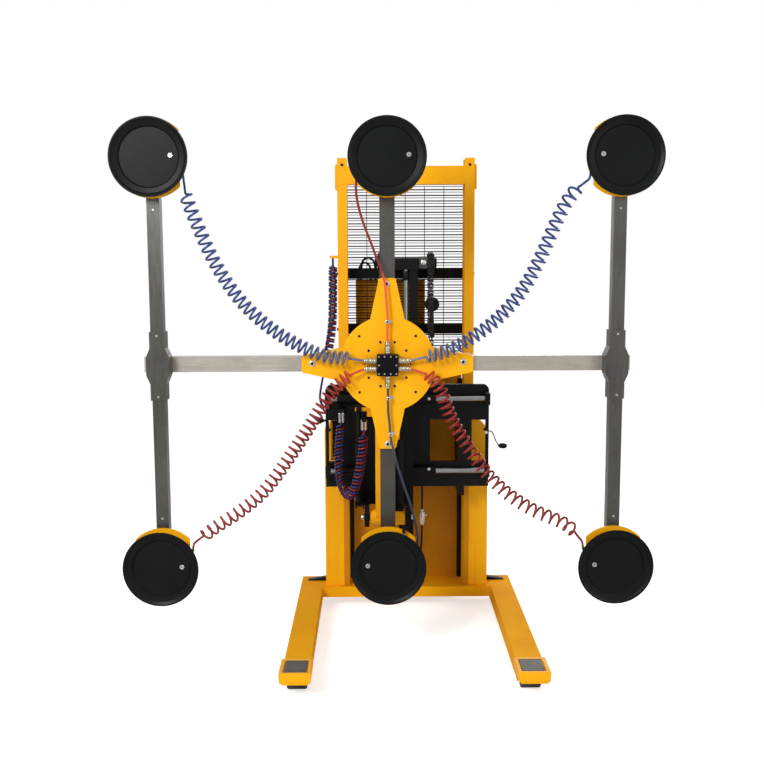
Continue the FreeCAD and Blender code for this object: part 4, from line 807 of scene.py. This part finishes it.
# %% Model the four big bolts of the plate
def socket_bolt(name, body, places, scale=1.0):
    """A domed bolt on a washer with a six sided socket whose bottom is a black disc, painted shade in the
    socket.
    """
    washer = round_bar(0.0125 * scale, 0.0022, (0, 0, 0.0011), (0, 0, 1), 32)
    head = round_bar(0.0095 * scale, 0.0075, (0, 0, 0.0055), (0, 0, 1), 28)
    pick(head, lambda centre, normal: normal.z > 0.9)
    drawn_in(0.0036 * scale)
    pushed(0, 0, -0.004)
    done()
    model = soften(one_piece([washer, head]), 0.0008 * scale, 2, 40)
    copies = [same_again(model, at, axis) for at, axis in places]
    thrown_away(model)
    hand_over(one_piece(copies), name, body, "bright_steel")
    # The black six sided disc at the bottom of each socket is painted shade.
    key = round_bar(0.0062 * scale, 0.001, (0, 0, 0.0058), (0, 0, 1), 6)
    pick(key, lambda centre, normal: normal.z > 0.9)
    drawn_in(0.0008)
    done()
    dark = [same_again(key, at, axis) for at, axis in places]
    thrown_away(key)
    return hand_over(one_piece(dark), name + "_sockets", body, "black_plastic")


socket_bolt("plate_bolts", "head", [((-0.003, -0.445, 1.512), toward), ((-0.298, -0.445, 1.199), toward),
                                    ((0.300, -0.445, 1.203), toward), ((0.0, -0.445, 0.874), toward)])
print("plate bolts placed")

# %% Model the hose clips and place them
def hose_clip(name, at):
    """A band over the hose with a foot that a bolt holds on the plate."""
    x, z = at
    band = round_bar(0.0068, 0.011, (x, -0.4685, z), (0, 0, 1), 24)
    pick(band, lambda centre, normal: abs(normal.z) > 0.9)
    drawn_in(0.0014)
    done()
    post = block((0.006, 0.02, 0.011), (x + 0.003, -0.456, z))
    foot = block((0.02, 0.0025, 0.013), (x + 0.009, -0.4468, z))
    hand_over(soften(one_piece([band, post, foot]), 0.0008, 1), name, "head", "bright_steel")
    socket_bolt(name + "_bolt", "head", [((x, -0.4745, z), toward)], 0.62)


for name, at in (("clip_high", (-0.001, 1.364)), ("clip_low", (0.0035, 1.062)), ("clip_foot", (0.011, 0.918))):
    hose_clip(name, at)
print("clips placed")

# %% [markdown]
# ## Pads
# Each pad face has the moulded ring pattern of the solid. What is missing is the bright vacuum port beside the
# middle. It is a small ring with a hole, made from a cylinder whose face is drawn in, pushed down and raised.
# A small black disc in the hole is painted shade.

# %% Model the vacuum port and place it on the six pads
port = round_bar(0.0092, 0.004, (0, 0, 0.002), (0, 0, 1), 28)
pick(port, lambda centre, normal: normal.z > 0.9)
drawn_in(0.0022)
pushed(0, 0, -0.0022)
drawn_in(0.0016)
pushed(0, 0, 0.0014)
done()
soften(port, 0.0005, 1)
# A black disc in the port's hole is painted shade.
hole_shade_disc = round_bar(0.0026, 0.001, (0, 0, 0.0034), (0, 0, 1), 16)
pick(hole_shade_disc, lambda centre, normal: normal.z > 0.9)
drawn_in(0.0006)
done()
aside, face_y, raised = 0.082, -0.5395, 0.006
for side, x in (("left", -outer_x), ("middle", 0.0), ("right", outer_x)):
    for row, z in (("top", high_pad_z), ("bottom", low_pad_z)):
        way = 1 if (row == "top" and side != "right") or (row == "bottom" and side == "left") else -1
        body, at = "pad_%s_%s" % (row, side), (x + aside * way, face_y, z + raised)
        hand_over(same_again(port, at, toward), "port_%s_%s" % (row, side), body, "bright_steel")
        hand_over(same_again(hole_shade_disc, at, toward), "port_eye_%s_%s" % (row, side), body, "black_plastic")
thrown_away(hole_shade_disc)
thrown_away(port)
print("ports placed")

# %% [markdown]
# ## Fittings on the block
# Each hose leaves the black block through a push-in fitting with bright knurled rings. The solid gives the
# brass stem, and one turned ring with a groove is copied along each stem.

# %% Turn the ring and thread it on the stems
def turned_ring(radius, wide):
    ring = round_bar(radius, wide, (0, 0, wide / 2), (0, 0, 1), 28)
    pick(ring, lambda centre, normal: abs(normal.z) > 0.9)
    drawn_in(radius * 0.28)
    done()
    return soften(ring, 0.0009, 2, 50)


big, small = turned_ring(0.0128, 0.0085), turned_ring(0.0096, 0.0052)
rings = []
for sign in (-1, 1):
    for k, start in enumerate((0.0445, 0.0545, 0.061, 0.071, 0.0775, 0.0875)):
        model = (big, small)[k % 2]
        for z in (1.179, 1.211):
            rings.append(same_again(model, (sign * start, port_y, z), (sign, 0, 0)))
        rings.append(same_again(model, (0, port_y, centre_z + sign * start), (0, 0, sign)))
thrown_away(big)
thrown_away(small)
hand_over(one_piece(rings), "fitting_rings", "head", "nickel_fitting")
print(len(rings), "rings on the fittings")

# %% [markdown]
# ## Shoes of the legs
# Over each load roller the leg ends in a shoe: a wider cap with a raised, rounded rim, and a grey ribbed
# plate inside. The cap is a block drawn in below, its top is inset and pushed down, and the plate's ribs are
# every other strip of its top pushed up.

# %% Model the shoe and its plate
for side, x in (("left", -0.349), ("right", 0.531)):
    cap = block((0.124, 0.151, 0.038), (x, -0.8275, 0.0875))
    pick(cap, lambda centre, normal: normal.z < -0.9)
    bpy.ops.transform.resize(value=(0.93, 0.98, 1), center_override=(x, -0.82, 0.0685))
    done()
    pick(cap, lambda centre, normal: normal.z > 0.9)
    bpy.ops.transform.resize(value=(0.98, 0.96, 1), center_override=(x, -0.76, 0.1065))
    drawn_in(0.0155)
    pushed(0, 0, -0.0058)
    done()
    hand_over(soften(cap, 0.0036, 3), "shoe_" + side, "root", "yellow_paint")
    rib, plate_y = 0.0105, -0.8215
    plate = block((0.084, 0.108, 0.0035), (x, plate_y, 0.1025))
    for k in range(10):
        work_on(plate)
        bpy.ops.object.mode_set(mode="EDIT")
        bpy.ops.mesh.select_all(action="SELECT")
        bpy.ops.mesh.bisect(plane_co=(x, plate_y + rib * (k - 4.5), 0.1), plane_no=(0, 1, 0))
        done()
    pick(plate, lambda centre, normal: normal.z > 0.9 and int((centre.y + 0.9) / rib) % 2 == 0)
    bpy.ops.mesh.inset(thickness=0.0009, use_individual=True)
    pushed(0, 0, 0.0014)
    done()
    hand_over(soften(plate, 0.0004, 1), "shoe_plate_" + side, "root", "shoe_grey")
print("shoes done")

# %% [markdown]
# ## Bolts of the frame
# The mast's cross ties, the backing plates and the carriage carry hexagon bolts. A bolt is a six sided
# cylinder on a washer, with its top edge softened.

# %% Model the hexagon bolt and place it
def hexagon_bolt(across_flats, tall):
    washer = round_bar(across_flats * 0.62, tall * 0.22, (0, 0, tall * 0.11), (0, 0, 1), 24)
    head = round_bar(across_flats * 0.56, tall * 0.8, (0, 0, tall * 0.6), (0, 0, 1), 6)
    pick(head, lambda centre, normal: normal.z > 0.9)
    drawn_in(across_flats * 0.07)
    bpy.ops.transform.translate(value=(0, 0, tall * 0.05))
    done()
    return soften(one_piece([washer, head]), across_flats * 0.03, 1, 50)


def bolts(name, body, across_flats, tall, places, finish_name="bright_steel"):
    model = hexagon_bolt(across_flats, tall)
    copies = [same_again(model, at, axis, 0.3 * k) for k, (at, axis) in enumerate(places)]
    thrown_away(model)
    return hand_over(one_piece(copies), name, body, finish_name)


left_way, right_way, rear_way = (-1, 0, 0), (1, 0, 0), (0, 1, 0)
tie_heights = (1.286, 1.539)
bolts("tie_bolts", "root", 0.013, 0.009,
      [((-0.214, 0.215, z), left_way) for z in tie_heights] +
      [((0.396, 0.215, z), right_way) for z in tie_heights],
      "black_plastic")
screws("beam_screws", "root", 0.006, 0.003, [((x, 0.130, 2.02), toward) for x in (-0.192, 0.374)],
       "black_plastic")
spots = [(dx, dz) for dx in (-0.062, 0.062) for dz in (-0.05, 0.05)]
outer_spots = [(dx, z, dz) for dx in (-0.062, 0.062) for z in (low_pad_z, high_pad_z) for dz in (-0.05, 0.05)]
for side, x, body in (("left", -outer_x, "arm_left"), ("right", outer_x, "arm_right")):
    bolts("backing_bolts_" + side, body, 0.012, 0.008,
          [((x + dx, -0.490, z + dz), rear_way) for dx, z, dz in outer_spots])
for row, z, body in (("top", high_pad_z, "arm_top"), ("bottom", low_pad_z, "arm_bottom")):
    bolts("backing_bolts_" + row, body, 0.012, 0.008, [((dx, -0.490, z + dz), rear_way) for dx, dz in spots])
bolts("plate_bolts_behind", "carriage", 0.012, 0.008,
      [((x, -0.025, z), toward) for x in (-0.252, 0.434) for z in (0.63, 0.86)],
      "black_plastic")
print("bolts placed")

# %% [markdown]
# ## Small screws on the square tubes
# Four small screws sit on each cross tube and its sleeve, and a plain low socket screw does for all. The open
# ends of the tubes are closed with moulded caps.

# %% Place the small screws and the end caps
for side, x, body in (("left", -outer_x, "arm_left"), ("right", outer_x, "arm_right")):
    screws("sleeve_screws_" + side, body, 0.0045, 0.003,
           [((x, -0.495, z), toward) for z in (1.075, 1.315)] +
           [((x, -0.490, z), toward) for z in (0.585, 1.80)])
print("tube screws placed")


def end_cap(name, body, at, axis, side):
    """A moulded plug in the open end of a square tube: a block with its outer face drawn in."""
    cap = block((side * 0.92, side * 0.92, 0.006), (0, 0, 0.001))
    pick(cap, lambda centre, normal: normal.z > 0.9)
    drawn_in(side * 0.08)
    bpy.ops.transform.translate(value=(0, 0, 0.0015))
    done()
    soften(cap, 0.001, 1)
    copy = same_again(cap, at, axis)
    thrown_away(cap)
    return hand_over(copy, name, body, "black_plastic")


for side, way in (("left", -1), ("right", 1)):
    x, body = outer_x * way, "arm_" + side
    end_cap("cap_out_" + side, body, (x + 0.0622 * way, -0.397, 1.195), (way, 0, 0), 0.06)
    end_cap("cap_high_" + side, body, (x, -0.465, 2.0362), (0, 0, 1), 0.05)
    end_cap("cap_low_" + side, body, (x, -0.465, 0.3538), (0, 0, -1), 0.05)
end_cap("cap_top", "arm_top", (0, -0.397, 2.0362), (0, 0, 1), 0.06)
end_cap("cap_bottom", "arm_bottom", (0, -0.397, 0.3538), (0, 0, -1), 0.06)
print("end caps placed")

# %% [markdown]
# ## Hydraulics and small parts behind the head
# A steel block on a black pressure hose stands beside the lift cylinder, black guards close the corners
# between the legs and the braces, and two hoses loop over the vacuum cabinet.

# %% Guards, block and cabinet hoses
for side, x, way in (("left", -0.299, -1), ("right", 0.481, 1)):
    guard = block((0.156, 0.03, 0.03), (x - 0.007 * way, 0.215, 0.115))
    pick(guard, lambda at: at.z > 0.12 and (at.x - x) * way > 0.03, "VERT")
    bpy.ops.transform.translate(value=(0, 0, -0.0265))
    done()
    hand_over(soften(guard, 0.003, 2), "corner_guard_" + side, "root", "black_plastic")

block_x, block_y = 0.163, 0.118
body_block = block((0.022, 0.028, 0.05), (block_x, block_y, 0.427))
pick(body_block, lambda centre, normal: normal.y < -0.9)
drawn_in(0.005)
pushed(0, -0.006, 0)
done()
nuts = [round_bar(0.0075, 0.012, (block_x, block_y, z), (0, 0, 1), 6) for z in (0.396, 0.458)]
nuts.append(round_bar(0.006, 0.014, (block_x + 0.015, block_y, 0.436), (1, 0, 0), 6))
soften(one_piece([body_block] + nuts), 0.0012, 2, 40)
hand_over(body_block, "valve_block", "root", "bright_steel")


def hose_loop(name, points, thick):
    piece = spline_object(name, points, thick, 2)
    piece.data.materials.append(finishes["black_plastic"])
    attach(piece, "root")
    long = round(run_length(smooth_line(points)), 3)
    print(name, "is", long, "m")


front_loop = [(-0.112, 0.330, 1.509), (-0.112, 0.330, 1.550), (-0.108, 0.330, 1.600), (-0.078, 0.330, 1.616),
              (-0.050, 0.330, 1.596), (-0.046, 0.330, 1.550), (-0.046, 0.330, 1.509)]
rear_loop = [(-0.125, 0.372, 1.509), (-0.125, 0.372, 1.540), (-0.120, 0.376, 1.576), (-0.096, 0.384, 1.592),
             (-0.072, 0.392, 1.576), (-0.068, 0.396, 1.540), (-0.068, 0.396, 1.509)]
pressure_line = [(0.148, 0.118, 0.104), (0.149, 0.118, 0.150), (0.153, 0.118, 0.220), (0.160, 0.118, 0.300),
                 (0.163, 0.118, 0.380), (0.163, 0.118, 0.470), (0.164, 0.116, 0.560), (0.161, 0.114, 0.680),
                 (0.157, 0.114, 0.800), (0.152, 0.118, 0.900), (0.146, 0.132, 0.960), (0.136, 0.150, 0.985)]
hose_loop("cabinet_hose_front", front_loop, 0.005)
hose_loop("cabinet_hose_rear", rear_loop, 0.005)
hose_loop("pressure_hose", pressure_line, 0.0045)

# %% [markdown]
# ## Small parts of the mast
# Beside the right chain wheel the crosshead has a galvanised cheek with a bright boss, a black sheave for the
# hoses has a strip behind it, the ram ends in a dark clevis, and the pin of the tilt hinge has bright ends.

# %% Model the sheave, the cheek, the clevis and the pin ends
sheave_x, sheave_z, strip_y = 0.2105, 1.401, 0.1915
sheave = round_bar(0.033, 0.02, (sheave_x, 0.178, sheave_z), (0, 1, 0), 40)
pick(sheave, lambda centre, normal: abs(normal.y) > 0.9)
drawn_in(0.007)
pushed(0, 0, 0)
drawn_in(0.012)
done()
hand_over(soften(sheave, 0.003, 3, 50), "hose_sheave", "root", "black_plastic")
strip = block((0.024, 0.009, 0.17), (sheave_x, strip_y, 1.335))
pick(strip, lambda centre, normal: normal.z > 0.9)
bpy.ops.transform.resize(value=(0.5, 1, 1), center_override=(sheave_x, strip_y, 1.42))
done()
hand_over(soften(strip, 0.0012, 1), "sheave_strip", "root", "black_paint")

cheek = block((0.034, 0.004, 0.05), (0.168, 0.143, wheel_z))
pick(cheek, lambda centre, normal: normal.z > 0.9)
pushed(0, 0, 0.004)
done()
pick(cheek, lambda centre, normal: normal.y > 0.9 and centre.z > 1.613)
pushed(0, 0.05, 0)
done()
hand_over(soften(cheek, 0.001, 2), "wheel_cheek", "crosshead", "galvanised")
boss = round_bar(0.012, 0.006, (0.170, 0.139, 1.590), (0, 1, 0), 28)
pick(boss, lambda centre, normal: normal.y < -0.9)
drawn_in(0.003)
pushed(0, -0.003, 0)
done()
hand_over(soften(boss, 0.001, 2, 40), "cheek_boss", "crosshead", "bright_steel")

clevis = round_bar(0.0165, 0.04, (mast_x, wheel_y, 1.532), (0, 0, 1), 8)
pick(clevis, lambda centre, normal: normal.z < -0.9)
drawn_in(0.003)
pushed(0, 0, -0.006)
done()
hand_over(soften(clevis, 0.0015, 2, 40), "ram_clevis", "crosshead", "black_paint")

ends = []
for way in (-1, 1):
    knob = round_bar(0.0115, 0.009, (0.1025 * way, -0.290, 0.535), (1, 0, 0), 28)
    pick(knob, lambda centre, normal: normal.x * way > 0.9)
    drawn_in(0.003)
    pushed(0.003 * way, 0, 0)
    done()
    ends.append(knob)
hand_over(soften(one_piece(ends), 0.001, 2, 40), "hinge_pin_ends", "sideshift", "bright_steel")
print("mast parts placed")

# %% Inner flanges, seals of the hood, duct on the post and the bar in the carriage's window
# The inner flanges take the hood's darker yellow, which is painted shade.
for side, x, edge, way in (("left", -0.1845, -0.164, 1), ("right", 0.3665, 0.346, -1)):
    flange = block((0.024, 0.006, 0.47), (x, 0.1275, 0.336))
    pick(flange, lambda centre, normal: normal.x * way > 0.9)
    pushed(0.003 * way, 0.0, 0)
    bpy.ops.transform.resize(value=(1, 0.5, 1), center_override=(x, 0.1305, 0.336))
    done()
    hand_over(soften(flange, 0.0012, 2), "inner_flange_" + side, "root", "hood_cover")
    seal = block((0.030, 0.022, 0.95), (edge - 0.003 * way, 0.252, 0.578))
    pick(seal, lambda centre, normal: normal.y < -0.9)
    drawn_in(0.004)
    done()
    hand_over(soften(seal, 0.003, 2), "hood_seal_" + side, "root", "black_plastic")

duct = block((0.034, 0.008, 0.30), (0.0485, -0.3345, 0.72))
pick(duct, lambda centre, normal: normal.y < -0.9)
drawn_in(0.004)
pushed(0, -0.002, 0)
done()
hand_over(soften(duct, 0.0015, 2), "post_duct", "tilt_post", "black_plastic")

guard = block((0.088, 0.004, 0.196), (-0.205, 0.030, 0.812))
pick(guard, lambda centre, normal: normal.y < -0.9)
drawn_in(0.008)
pushed(0, 0.0015, 0)
done()
hand_over(soften(guard, 0.001, 1), "window_plate", "carriage", "black_plastic")
bar = [round_bar(0.0045, 0.178, (-0.243, 0.020, 0.812), (0, 0, 1), 14)]
bar += [round_bar(0.0045, 0.022, (-0.234, 0.020, z), (1, 0, 0), 14) for z in (0.7265, 0.8975)]
for one in bar:
    pick(one, lambda centre, normal: max(abs(normal.x), abs(normal.z)) > 0.9)
    drawn_in(0.0012)
    done()
hand_over(soften(one_piece(bar), 0.0008, 1), "window_bar", "carriage", "yellow_paint")

low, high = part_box("cable_plug")
plug_y, plug_z = (low[1] + high[1]) / 2, (low[2] + high[2]) / 2
boot = block((0.02, 0.02, 0.022), (low[0] + 0.006, plug_y, plug_z))
pick(boot, lambda centre, normal: normal.x < -0.9)
pushed(-0.012, 0, 0.0)
bpy.ops.transform.resize(value=(1, 0.5, 0.5), center_override=(low[0], plug_y, plug_z))
done()
hand_over(soften(boot, 0.003, 3), "plug_boot", "carriage", "black_plastic")

for side, x in (("left", -0.2), ("right", 0.382)):
    foot = block((0.056, 0.005, 0.215), (x, 0.1285, 0.2085))
    pick(foot, lambda at: at.z > 0.3 and abs(at.x - mast_x) > abs(x - mast_x), "VERT")
    bpy.ops.transform.translate(value=(0, 0, -0.02))
    done()
    hand_over(soften(foot, 0.0012, 1), "column_foot_" + side, "root", "yellow_paint")
bolts("carriage_bolts", "carriage", 0.011, 0.007,
      [((x, -0.112, z), toward) for x, z in ((-0.236, 1.008), (0.182, 1.008), (0.182, 0.700), (0.43, 0.86))])
nub = round_bar(0.0065, 0.029, (0.062, -0.5085, 0.5325), (0, 1, 0), 20)
pick(nub, lambda centre, normal: normal.y < -0.9)
drawn_in(0.002)
pushed(0, -0.002, 0)
done()
hand_over(soften(nub, 0.001, 2, 40), "pad_nub", "pad_bottom_middle", "black_plastic")
print("flanges, seals, duct, window bar and boot placed")

# %% Bright sleeves at the tops of the hanging loop
for body, x, y in (("carriage", -0.1965, -0.1005), ("sideshift", -0.0965, -0.292)):
    pair = []
    for dx in (-0.0065, 0.0065):
        sleeve = round_bar(0.0062, 0.036, (x + dx, y, 0.922), (0, 0, 1), 20)
        pick(sleeve, lambda centre, normal: abs(normal.z) > 0.9)
        drawn_in(0.0012)
        done()
        nut = round_bar(0.0075, 0.009, (x + dx, y, 0.943), (0, 0, 1), 6)
        pair += [sleeve, nut]
    sleeves = soften(one_piece(pair), 0.0008, 1, 40)
    hand_over(sleeves, "loop_sleeves_" + body, body, "bright_steel")
print("loop sleeves placed")

# %% [markdown]
# ## Cabinet, hood and controls
# The photograph shows only the front, so the rear follows what such trucks have: a door with two hinges and a
# turning latch on the cabinet, a vacuum gauge, air slots in the hood and a charge display.

# %% Door, hinges and latch of the cabinet
# The door takes the hood's darker yellow, which is painted shade.
door = block((0.29, 0.004, 0.38), (0.023, 0.4715, 1.30))
pick(door, lambda centre, normal: normal.y > 0.9)
drawn_in(0.014)
pushed(0, -0.0015, 0)
done()
hand_over(soften(door, 0.0015, 2), "cabinet_door", "root", "hood_cover")
for k, z in enumerate((1.18, 1.42)):
    knuckle = round_bar(0.006, 0.05, (-0.126, 0.4745, z), (0, 0, 1), 16)
    pick(knuckle, lambda centre, normal: abs(normal.z) > 0.9)
    drawn_in(0.0015)
    pushed(0, 0, 0.0)
    done()
    hand_over(soften(knuckle, 0.0008, 1), "door_hinge_%d" % (k + 1), "root", "black_plastic")
latch = round_bar(0.013, 0.006, (0.150, 0.4765, 1.30), (0, 1, 0), 28)
pick(latch, lambda centre, normal: normal.y > 0.9)
drawn_in(0.004)
pushed(0, 0.003, 0)
done()
hand_over(soften(latch, 0.001, 2), "door_latch", "root", "black_plastic")
print("cabinet door hung")

# %% Vacuum gauge on the cabinet
gauge_x, gauge_z = 0.125, 1.44
bezel = round_bar(0.032, 0.016, (gauge_x, 0.476, gauge_z), (0, 1, 0), 40)
pick(bezel, lambda centre, normal: normal.y > 0.9)
drawn_in(0.0035)
pushed(0, -0.004, 0)
done()
hand_over(soften(bezel, 0.001, 2), "gauge_bezel", "root", "black_plastic")
dial = round_bar(0.0282, 0.001, (gauge_x, 0.4805, gauge_z), (0, 1, 0), 40)
pick(dial, lambda centre, normal: normal.y > 0.9)
drawn_in(0.002)
done()
hand_over(dial, "gauge_dial", "root", "dial_white")
needle_y, needle_long, tip_z = 0.4815, 0.022, gauge_z + 0.02
needle = block((0.0018, 0.0008, needle_long), (gauge_x, needle_y, tip_z - needle_long / 2))
pick(needle, lambda at: at.z > gauge_z + 0.01, "VERT")
bpy.ops.transform.resize(value=(0.3, 1, 1), center_override=(gauge_x, needle_y, tip_z))
done()
hand_over(needle, "gauge_needle", "root", "black_plastic")
print("gauge fitted")

# %% Air slots and seams of the hood
slat = block((0.006, 0.19, 0.012), (0, 0, 0))
pick(slat, lambda at: at.z > 0 and at.x > 0, "VERT")
bpy.ops.transform.translate(value=(-0.004, 0, 0))
done()
soften(slat, 0.0008, 1)
slats, lowest_slat, slat_pitch = [], 0.62, 0.024
for k in range(8):
    z = lowest_slat + slat_pitch * k
    slats.append(same_again(slat, (0.354, 0.42, z)))
    slats.append(same_again(slat, (-0.172, 0.42, z), (0, 0, 1), math.pi))
thrown_away(slat)
hand_over(one_piece(slats), "hood_slats", "root", "black_plastic")
# The hood panel takes the hood's darker yellow, which is painted shade.
panel = block((0.44, 0.003, 0.42), (mast_x, 0.641, 0.60))
pick(panel, lambda centre, normal: normal.y > 0.9)
drawn_in(0.012)
pushed(0, -0.001, 0)
done()
hand_over(soften(panel, 0.0012, 2), "hood_panel", "root", "hood_cover")
screws("hood_screws", "root", 0.006, 0.004,
       [((x, 0.6425, z), rear_way) for x in (-0.118, 0.300) for z in (0.40, 0.80)],
       "black_plastic")
print("hood finished")

# %% Charge display beside the stop button, and the stop button's collar
display = block((0.05, 0.036, 0.012), (0.215, 0.375, 1.091))
pick(display, lambda centre, normal: normal.z > 0.9)
drawn_in(0.006)
pushed(0, 0, -0.002)
done()
hand_over(soften(display, 0.001, 2), "charge_display", "root", "black_plastic")
collar = round_bar(0.029, 0.003, (0.281, 0.380, 1.0865), (0, 0, 1), 40)
pick(collar, lambda centre, normal: normal.z > 0.9)
drawn_in(0.008)
pushed(0, 0, -0.0028)
done()
hand_over(soften(collar, 0.0008, 1), "stop_collar", "root", "dial_white")
print("display and collar fitted")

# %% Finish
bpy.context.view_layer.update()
nothing_selected()
